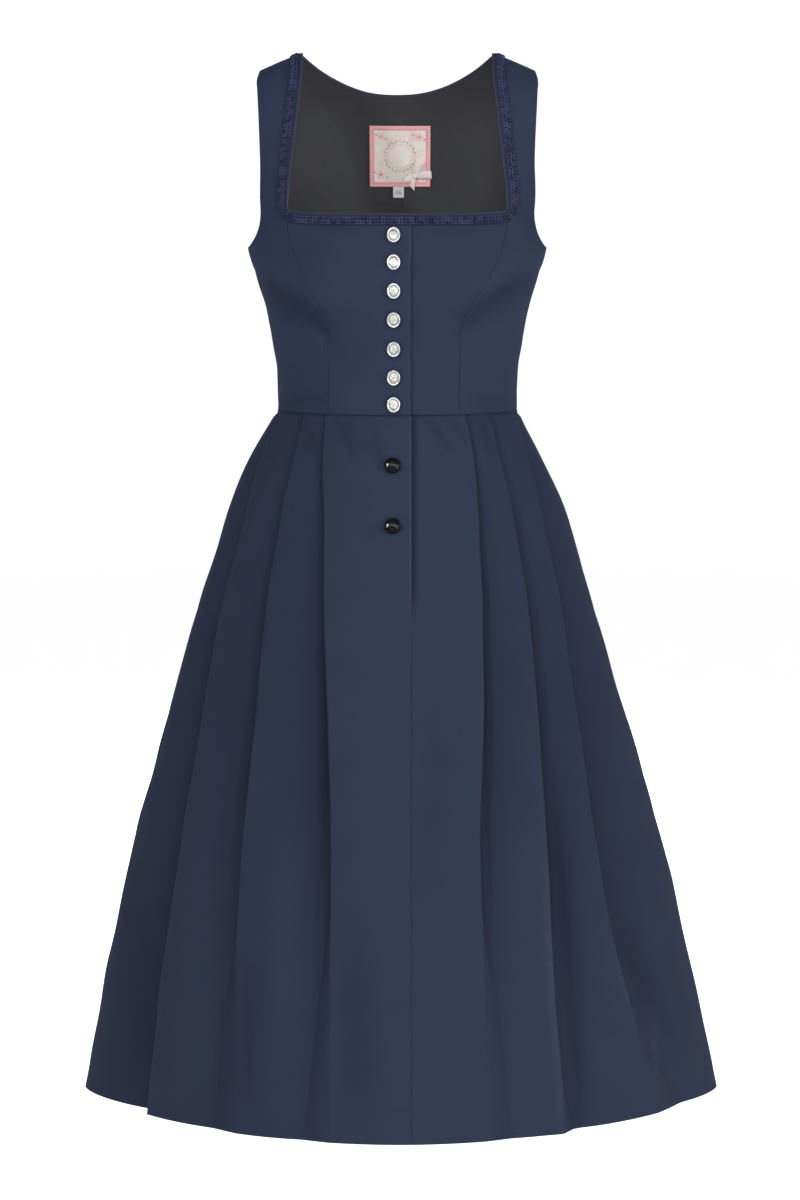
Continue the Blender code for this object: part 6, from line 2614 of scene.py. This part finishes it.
@dataclass
class NeckLabel:
    """Woven label on the lining, with a ribbon bow on it and a size tag below it."""

    form: BodiceForm
    centre: tuple[float, float] = (2.5, 101.0)
    side: float = 62.0
    wall: float = 0.7
    cell: float = 0.48
    lift: float = -4.4
    border: float = 4.4
    border_line: float = 1.0
    wreath_radius: float = 15.5
    wreath_count: int = 24
    wreath_lean: float = 38.0
    leaf_size: float = 2.6
    bud_size: float = 1.9
    bud_every: int = 6
    blossom_turn: float = 17.0
    corner_leaf: float = 2.7
    corner_leaf_gap: float = 1.4
    corner_leaf_fall: float = 0.55
    corner_leaf_turn: float = 25.0
    blossoms: tuple[tuple[float, float, float], ...] = (
        (19.5, 19.5, 4.6), (-19.8, -19.0, 5.0), (-19.5, 20.0, 3.4), (13.5, -22.0, 3.2))
    panel_radius: float = 12.0
    panel_line: float = 0.45
    blur: float = 0.35
    cloud: Unevenness = Unevenness(size=13.0, height=0.5, seed=31)
    flush: Unevenness = Unevenness(size=17.0, height=0.5, seed=32)
    ripple: Unevenness = Unevenness(size=26.0, height=0.12, seed=33)
    blade_width: float = 0.36
    bud_reaches: tuple[float, float] = (0.62, 0.25)
    petal_reach: tuple[float, float] = (0.72, 0.28)
    petals: int = 5
    blush_share: float = 0.62
    heart_reach: float = 0.26
    bound_rise: float = 0.25
    bound_fade: float = 0.8
    edge_dip: float = 0.22
    edge_fade: float = 0.9
    stitch_inset: float = 1.6
    stitch_lift: float = 0.22
    stitch_run: tuple[float, float] = (0.02, 0.98)
    stitch_points: int = 40
    ground: Colour = (0.95, 0.83, 0.75)
    ground_light: Colour = (0.97, 0.91, 0.86)
    pink: Colour = (0.97, 0.49, 0.51)
    rose: Colour = (0.80, 0.19, 0.25)
    blush: Colour = (0.95, 0.68, 0.67)
    leaf: Colour = (0.48, 0.51, 0.37)
    tag_centre: float = 1.0
    tag_size: float = 11.0
    tag_wall: float = 0.5
    tag_count: int = 24
    tag_curls: tuple[float, float] = (0.5, 0.35)
    number: str = "36"
    number_size: float = 6.0
    number_half: float = 0.12
    number_flat: float = 0.6
    number_lift: float = 0.03
    number_middle: tuple[float, float] = (0.5, 0.52)
    bow_centre: tuple[float, float] = (17.5, 121.0)
    bow_wall: float = 0.35
    bow_lift: float = 0.5
    bow_step: float = 0.9
    gathered: float = 2.4
    ribbon_columns: int = 11
    swell_share: float = 0.45
    tail_cut: float = 0.8
    pucker: float = 0.35
    crown: float = 0.5
    loop_points: int = 46
    loop_power: float = 0.72
    loop_rises: tuple[float, float] = (3.0, 1.1)
    loop_lean: float = 12.0
    tail_points: int = 26
    tail_rise: float = 0.9
    tail_lean: float = 7.0
    knot_grid: tuple[int, int] = (17, 29)
    knot_folds: int = 6
    knot_fold_depth: float = 0.07
    knot_radii: tuple[float, float, float] = (2.5, 3.4, 2.0)
    knot_height: float = 1.7
    knot_tilt: float = -35.0
    lobes: tuple[Lobe, ...] = (
        Lobe(5.0, 18.0, 7.5, True), Lobe(66.0, 16.5, 7.5, True),
        Lobe(196.0, 12.0, 5.4, False), Lobe(252.0, 12.5, 5.4, False))
    label_cut: Cut = Cut(62.0, 62.0, 1.0)
    tag_cut: Cut = Cut(11.0, 11.0, 1.0)

    def build(self, maker: Maker, rows: RowKit) -> None:
        """Make the label, its stitches, the tag and the bow.

        Args:
            maker: The piece maker.
            rows: The trees that set rows of things.
        """
        self._label(maker)
        self._edge_stitches(maker, rows)
        self._tag(maker)
        self._bow(maker)

    def _inside(self, across: Array, drop: Array, height: Array | float) -> Array:
        """Points over the lining, a height in front of the label's back."""
        return self.form.point(Face.BACK, self.form.angle_at(across, drop), drop, self.lift - height)

    def _sprigs(self) -> list[Sprig]:
        """The pattern: a wreath of leaves and buds, with blossoms at the corners."""
        sprigs = []
        for step in range(self.wreath_count):
            turn = 360.0 * step / self.wreath_count
            lean = self.wreath_lean if step % 2 else -self.wreath_lean
            budding = step % self.bud_every == 0
            motif, size = (Motif.BUD, self.bud_size) if budding else (Motif.LEAF, self.leaf_size)
            spot = math.radians(turn)
            sprigs.append(Sprig(motif, self.wreath_radius * math.cos(spot),
                                self.wreath_radius * math.sin(spot), size, turn + 90.0 + lean))
        for number, (across, up, size) in enumerate(self.blossoms):
            sprigs.append(Sprig(Motif.BLOSSOM, across, up, size, self.blossom_turn * number))
            for side in (-1, 1):
                sprigs.append(Sprig(Motif.LEAF, across + side * (size + self.corner_leaf_gap),
                                    up - size * self.corner_leaf_fall * side, self.corner_leaf,
                                    self.corner_leaf_turn * side))
        return sprigs

    def _pattern(self, across: Array, up: Array) -> Array:
        """Colours of the label's face.

        Args:
            across: Distances right of the label's middle.
            up: Distances above it.

        Returns:
            A colour for each point.
        """
        def paint(under: Array, depth: Array, colour: Colour) -> Array:
            """Lay a colour over the others where the depth is above zero."""
            return under + (np.array(colour) - under) * np.clip(depth, 0.0, 1.0)[:, None]

        face = paint(np.tile(self.ground, (len(across), 1)), self.cloud(across, up) + 0.5, self.ground_light)
        face = paint(face, (self.flush(across, up) - 0.25) * 0.6, self.blush)
        for sprig in self._sprigs():
            turn = math.radians(sprig.turn)
            x, y = across - sprig.across, up - sprig.up
            along = x * math.cos(turn) + y * math.sin(turn)
            aside = y * math.cos(turn) - x * math.sin(turn)
            reach = np.hypot(x, y)
            if sprig.motif is Motif.LEAF:
                share = np.clip(along / sprig.size * 0.5 + 0.5, 0.0, 1.0)
                blade = self.blade_width * sprig.size * np.sin(math.pi * share)
                layers = [(blade - np.abs(aside), self.leaf)]
            elif sprig.motif is Motif.BUD:
                layers = [(sprig.size * share - reach, colour)
                          for share, colour in zip(self.bud_reaches, (self.pink, self.rose))]
            else:
                low, swing = self.petal_reach
                petal = sprig.size * (low + swing * np.cos(self.petals * (np.arctan2(y, x) - turn)))
                layers = [(petal - reach, self.pink), (petal * self.blush_share - reach, self.blush),
                          (sprig.size * self.heart_reach - reach, self.rose)]
            for depth, colour in layers:
                face = paint(face, depth / self.blur, colour)
        middle = np.hypot(across, up)
        edge = self.side / 2 - np.maximum(np.abs(across), np.abs(up))
        line = 0.5 * self.border_line - np.abs(edge - self.border + 0.6)
        for depth, colour in ((self.panel_radius - middle, self.ground_light),
                              (self.panel_line - np.abs(middle - self.panel_radius), self.pink),
                              (self.border - edge, self.pink), (line, self.rose)):
            face = paint(face, depth / self.blur, colour)
        return face

    def _label(self, maker: Maker) -> None:
        """The woven square.

        Args:
            maker: The piece maker.
        """
        count = int(self.side / self.cell)
        spots = np.linspace(0.0, self.side, count)
        right, down = np.meshgrid(spots, spots)
        half = self.side / 2
        across, drop = self.centre[0] - half + right, self.centre[1] - half + down
        edge = half - np.maximum(np.abs(right - half), np.abs(down - half))
        bound = (self.bound_rise * smooth_step((self.border - edge) / self.bound_fade)
                 - self.edge_dip * smooth_step((self.edge_fade - edge) / self.edge_fade))
        points = self._inside(across, drop, self.ripple(right, down) + bound)
        shell = Sheet().add_grid(points, np.stack([right, down], -1) * MM).shell(0.0, self.wall)
        own = (shell.cloth_map - self.side * MM / 2) / MM
        face = self._pattern(own[:, 0], -own[:, 1])
        colours = np.concatenate([face, np.ones((len(face), 1))], 1)
        piece = maker.cloth("woven_label", shell, "label", "label", "woven_label", ["neck_label"],
                            {"Print": colours})
        self.label_cut.declare(piece, "laid", ["inside_back_centre"])

    def _edge_stitches(self, maker: Maker, rows: RowKit) -> None:
        """Machine stitches that hold the label to the lining.

        Args:
            maker: The piece maker.
            rows: The trees that set rows of things.
        """
        half = self.side / 2 - self.stitch_inset
        corners = half * np.array([(-1, -1), (1, -1), (1, 1), (-1, 1), (-1, -1)])
        lanes = []
        for start, end in zip(corners, corners[1:]):
            spots = start + (end - start) * np.linspace(*self.stitch_run, self.stitch_points)[:, None]
            across, drop = self.centre[0] + spots[:, 0], self.centre[1] + spots[:, 1]
            upward = -self.form.normal(Face.BACK, self.form.angle_at(across, drop), drop)
            lanes.append((self._inside(across, drop, self.wall + self.stitch_lift), upward, 1.0))
        rows.run(maker, rows.stitches, "label_stitches", lanes, "satin", "pink_satin",
                 pitch=2.6, length=1.9, width=0.42, strand=0.4, slant=0.0, tilt=0.0)

    def _tag(self, maker: Maker) -> None:
        """A folded white tape with a plain number.

        Args:
            maker: The piece maker.
        """
        right, down = np.meshgrid(*[np.linspace(0.0, 1.0, self.tag_count)] * 2)
        cloth_map = np.stack([right, down], -1) * self.tag_size * MM
        shell = Sheet().add_grid(self._on_tag(right, down, 0.0), cloth_map).shell(0.0, self.tag_wall)
        piece = maker.cloth("white_size_tag", shell, "white_tape", "white_tape", "white_tag", ["size_tag"])
        self.tag_cut.declare(piece, "hung", ["woven_label"])
        self._digits(maker)

    def _on_tag(self, right: Array, down: Array, lift: Array | float) -> Array:
        """Points over the tag, which curls a little, at shares of its width and length.

        Args:
            right: Shares of the tag's width.
            down: Shares of its length.
            lift: Height over the label's back.

        Returns:
            A point for each pair of shares.
        """
        curl = self.tag_curls[0] * np.sin(math.pi * down) + self.tag_curls[1] * right * down
        across = self.tag_centre + (right - 0.5) * self.tag_size
        drop = self.centre[1] + self.side / 2 + GAP + down * self.tag_size
        return self._inside(across, drop, curl + lift)

    def _digits(self, maker: Maker) -> None:
        """The number on the tag, in thread.

        Args:
            maker: The piece maker.
        """
        text = bpy.data.curves.new("tag_number", "FONT")
        text.body = self.number
        text.size = self.number_size
        text.align_x, text.align_y = "CENTER", "CENTER"
        text.extrude = self.number_half
        text.resolution_u = 3
        holder = bpy.data.objects.new("tag_number", text)
        maker.collection.objects.link(holder)
        mesh = evaluated(holder, "tag_number")
        bpy.data.curves.remove(text)
        spots = mesh_points(mesh)
        lift = self.tag_wall + self.number_lift + (spots[:, 2] + self.number_half) * self.number_flat
        points = self._on_tag(self.number_middle[0] + spots[:, 0] / self.tag_size,
                              self.number_middle[1] - spots[:, 1] / self.tag_size, lift)
        mesh.vertices.foreach_set("co", (points * MM).astype(np.float32).ravel())
        mesh.update()
        if "UVMap" in mesh.uv_layers:
            mesh.uv_layers.remove(mesh.uv_layers["UVMap"])
        mesh.materials.clear()
        mesh.materials.append(maker.materials["grey_thread"])
        maker.place(mesh, "white_tag")

    def _bow(self, maker: Maker) -> None:
        """Two loops, two tails and the knot that gathers them.

        Args:
            maker: The piece maker.
        """
        base = self.wall + self.bow_lift
        sheet = Sheet()
        for order, lobe in enumerate(self.lobes):
            along, height, lean = self._lobe_path(lobe, order)
            shares = np.linspace(-0.5, 0.5, self.ribbon_columns)
            swell = np.clip(along / (self.swell_share * lobe.reach), 0.0, 1.0)
            width = self.gathered + (lobe.width - self.gathered) * smooth_step(swell)
            turn = np.radians(lobe.angle + lean)
            ahead, aside = along[:, None], width[:, None] * shares
            if not lobe.looped:
                ahead = ahead + (shares * lobe.width * self.tail_cut)[None, :] * swell[:, None] ** 3
            right = ahead * np.cos(turn)[:, None] - aside * np.sin(turn)[:, None]
            up = ahead * np.sin(turn)[:, None] + aside * np.cos(turn)[:, None]
            pucker = self.pucker * np.cos(shares * 4.0 * math.pi) * (1.0 - swell[:, None])
            crown = self.crown * (1.0 - (2.0 * shares) ** 2) * swell[:, None]
            points = self._inside(self.bow_centre[0] + right, self.bow_centre[1] - up,
                                  base + height[:, None] + pucker + crown)
            steps = np.arange(len(along)) * self.bow_step
            cloth_map = np.stack(np.meshgrid(shares * lobe.width, steps + 40.0 * order), -1) * MM
            sheet.add_grid(points, cloth_map)
        shell = sheet.shell(0.0, self.bow_wall, 1, 0.1)
        knot_points, knot_quads = self._knot(base)
        shell.quads = np.concatenate([shell.quads, knot_quads + len(shell.points)])
        shell.inner = np.concatenate([shell.inner, np.zeros(len(knot_quads), dtype=int)])
        knot_map = np.stack([knot_points[:, 0], knot_points[:, 2]], 1) * MM
        shell.points = np.concatenate([shell.points, knot_points])
        shell.cloth_map = np.concatenate([shell.cloth_map, knot_map])
        shell.marks = np.concatenate([shell.marks, np.zeros((len(knot_points), 2))])
        maker.cloth("satin_bow", shell, "satin", "satin", "pink_satin", ["label_bow"])

    def _lobe_path(self, lobe: Lobe, order: int) -> tuple[Array, Array, Array]:
        """Middle line of a loop or tail.

        Args:
            lobe: The loop or tail.
            order: Which layer it lies in.

        Returns:
            Distances from the knot, heights over the label and leans in degrees.
        """
        if lobe.looped:
            turn = np.linspace(0.0, 1.0, self.loop_points)
            along = 1.0 + (lobe.reach - 1.0) * np.sin(math.pi * turn) ** self.loop_power
            arch = smooth_step(turn) * np.sin(math.pi * turn) ** 0.5
            height = 0.25 + 0.5 * order + self.loop_rises[0] * arch + self.loop_rises[1] * turn
            return along, height, self.loop_lean * (turn - 0.5)
        turn = np.linspace(0.0, 1.0, self.tail_points)
        along = 1.0 + (lobe.reach - 1.0) * turn
        height = 0.2 + 0.3 * order + self.tail_rise * np.sin(math.pi * turn * 1.3) * (1.0 - turn)
        return along, np.maximum(height, 0.1), self.tail_lean * turn

    def _knot(self, base: float) -> tuple[Array, Array]:
        """The small wrapped knot.

        Args:
            base: Height of the label's face.

        Returns:
            Points and quads.
        """
        rows, columns = self.knot_grid
        turns = np.linspace(0.0, 2.0 * math.pi, columns)[:-1]
        slope, turn = np.meshgrid(np.linspace(-math.pi / 2, math.pi / 2, rows), turns, indexing="ij")
        ripple = 1.0 + self.knot_fold_depth * np.cos(self.knot_folds * turn)
        half_width, half_length, half_height = self.knot_radii
        right = half_width * np.cos(slope) * np.cos(turn) * ripple
        up = half_length * np.sin(slope)
        height = self.knot_height + half_height * np.cos(slope) * np.sin(turn) * ripple
        tilt = math.radians(self.knot_tilt)
        across = self.bow_centre[0] + right * math.cos(tilt) - up * math.sin(tilt)
        drop = self.bow_centre[1] - (right * math.sin(tilt) + up * math.cos(tilt))
        points = self._inside(across, drop, base + height).reshape(-1, 3)
        return points, ring_quads(slope.shape, (0, -1))[:, [1, 2, 3, 0]]


# Studio


class Lamp(NamedTuple):
    """A flat lamp, in metres, watts and degrees."""

    name: str
    place: tuple[float, float, float]
    width: float
    height: float
    power: float
    aim: tuple[float, float, float] = (0.0, 0.0, -0.45)
    spread: float = 180.0


@dataclass
class Studio:
    """Camera at the picture's angle, a plain pale floor that curves up all round, and soft light."""

    eye: tuple[float, float, float] = (0.0025, -4.0, -0.09)
    tilt: float = 6.5
    lens: float = 120.0
    sensor: float = 36.0
    floor_drop: float = 1.30
    floor_radius: float = 7.0
    cove_radius: float = 2.5
    cove_steps: int = 20
    around: int = 96
    floor_colour: Colour = (0.84, 0.84, 0.86)
    floor_light: Colour = (0.88, 0.88, 0.89)
    floor_mottle: float = 0.6
    floor_roughness: float = 0.9
    floor_glow: float = 0.75
    sky: float = 0.25
    sky_tint: Colour = (0.97, 0.83, 1.15)
    lamp_tint: Colour = (0.98, 1.0, 0.95)
    lamps: tuple[Lamp, ...] = (
        Lamp("Front light right", (-2.6, -3.4, 0.9), 0.24, 1.6, 48.0),
        Lamp("Front light left", (3.2, -3.0, 0.1), 4.0, 2.4, 97.0),
        Lamp("Camera light", (-0.1, -4.4, 0.9), 2.6, 1.4, 47.0),
        Lamp("Neck light", (0.0, -3.9, 1.1), 0.25, 0.25, 0.026, (0.0, 0.06, -0.055), 6.5),
        Lamp("Back light", (0.2, 4.4, 0.8), 1.4, 1.4, 130.0),
    )

    def build(self) -> None:
        """Set up the camera, the floor and the lights."""
        self._camera()
        self._floor()
        self._sky()
        for lamp in self.lamps:
            self._lamp(lamp)

    def _camera(self) -> None:
        """The camera of the main view."""
        data = bpy.data.cameras.new("Camera")
        data.sensor_fit = "VERTICAL"
        data.sensor_height = self.sensor
        data.lens = self.lens
        camera = bpy.data.objects.new("Camera", data)
        camera.location = self.eye
        camera.rotation_euler = (math.radians(90.0 - self.tilt), 0.0, 0.0)
        bpy.context.scene.collection.objects.link(camera)
        bpy.context.scene.camera = camera

    def _floor(self) -> None:
        """The pale floor, well below the hem, which curves up into a wall far from the dress."""
        turns = np.linspace(0.0, math.pi / 2, self.cove_steps)
        across, up = self.cove_radius * np.sin(turns), self.cove_radius * (1.0 - np.cos(turns))
        radii = np.concatenate([[0.0, self.floor_radius / 2], self.floor_radius + across,
                                [self.floor_radius + self.cove_radius]])
        heights = np.concatenate([[0.0, 0.0], up, [2.0 * self.cove_radius]]) - self.floor_drop
        points, quads = turned_body(radii, heights, self.around, (0,))
        mesh = bpy.data.meshes.new("studio_floor")
        mesh.from_pydata(points.tolist(), [], polygons(quads))
        mesh.shade_smooth()
        material, graph, shader = new_material("Studio floor")
        where = graph.out(graph.add("ShaderNodeTexCoord"), "Object")
        noise = graph.noise(where, self.floor_mottle)
        tone = graph.mix(noise, colour4(self.floor_colour), colour4(self.floor_light))
        seen = graph.out(graph.add("ShaderNodeLightPath"), "Is Camera Ray")
        graph.feed(shader, Base_Color=tone, Roughness=self.floor_roughness,
                   Emission_Color=(1.0, 1.0, 1.0, 1.0),
                   Emission_Strength=graph.math("MULTIPLY", seen, self.floor_glow))
        mesh.materials.append(material)
        floor = bpy.data.objects.new("studio_floor", mesh)
        bpy.context.scene.collection.objects.link(floor)

    def _sky(self) -> None:
        """Even light from all round."""
        world = bpy.data.worlds.new("Studio")
        world.use_nodes = True
        backdrop = world.node_tree.nodes["Background"]
        backdrop.inputs["Color"].default_value = colour4(self.sky_tint)
        backdrop.inputs["Strength"].default_value = self.sky
        bpy.context.scene.world = world
        bpy.context.scene.view_settings.view_transform = "Standard"

    def _lamp(self, lamp: Lamp) -> None:
        """Put up a soft lamp that faces its aim.

        Args:
            lamp: Its place, size and power.
        """
        data = bpy.data.lights.new(lamp.name, "AREA")
        data.shape = "RECTANGLE"
        data.size, data.size_y = lamp.width, lamp.height
        data.energy = lamp.power
        data.color = self.lamp_tint
        data.spread = math.radians(lamp.spread)
        stand = bpy.data.objects.new(lamp.name, data)
        stand.location = lamp.place
        stand.rotation_euler = (Vector(lamp.aim) - Vector(lamp.place)).to_track_quat("-Z", "Y").to_euler()
        stand.visible_camera = False
        bpy.context.scene.collection.objects.link(stand)


def main() -> None:
    """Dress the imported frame."""
    logging.basicConfig(level=logging.INFO, format="%(name)s: %(message)s")
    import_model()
    Studio().build()
    maker, rows = Maker(), RowKit()
    bodice_form, skirt_form = BodiceForm(), SkirtForm()
    Bodice(bodice_form).build(maker, rows)
    Braid(bodice_form).build(maker, rows)
    Skirt(skirt_form).build(maker, rows)
    MetalButtons(bodice_form).build(maker)
    BlackButtons(skirt_form).build(maker)
    NeckLabel(bodice_form).build(maker, rows)
    bpy.context.view_layer.update()


if __name__ == "__main__":
    main()
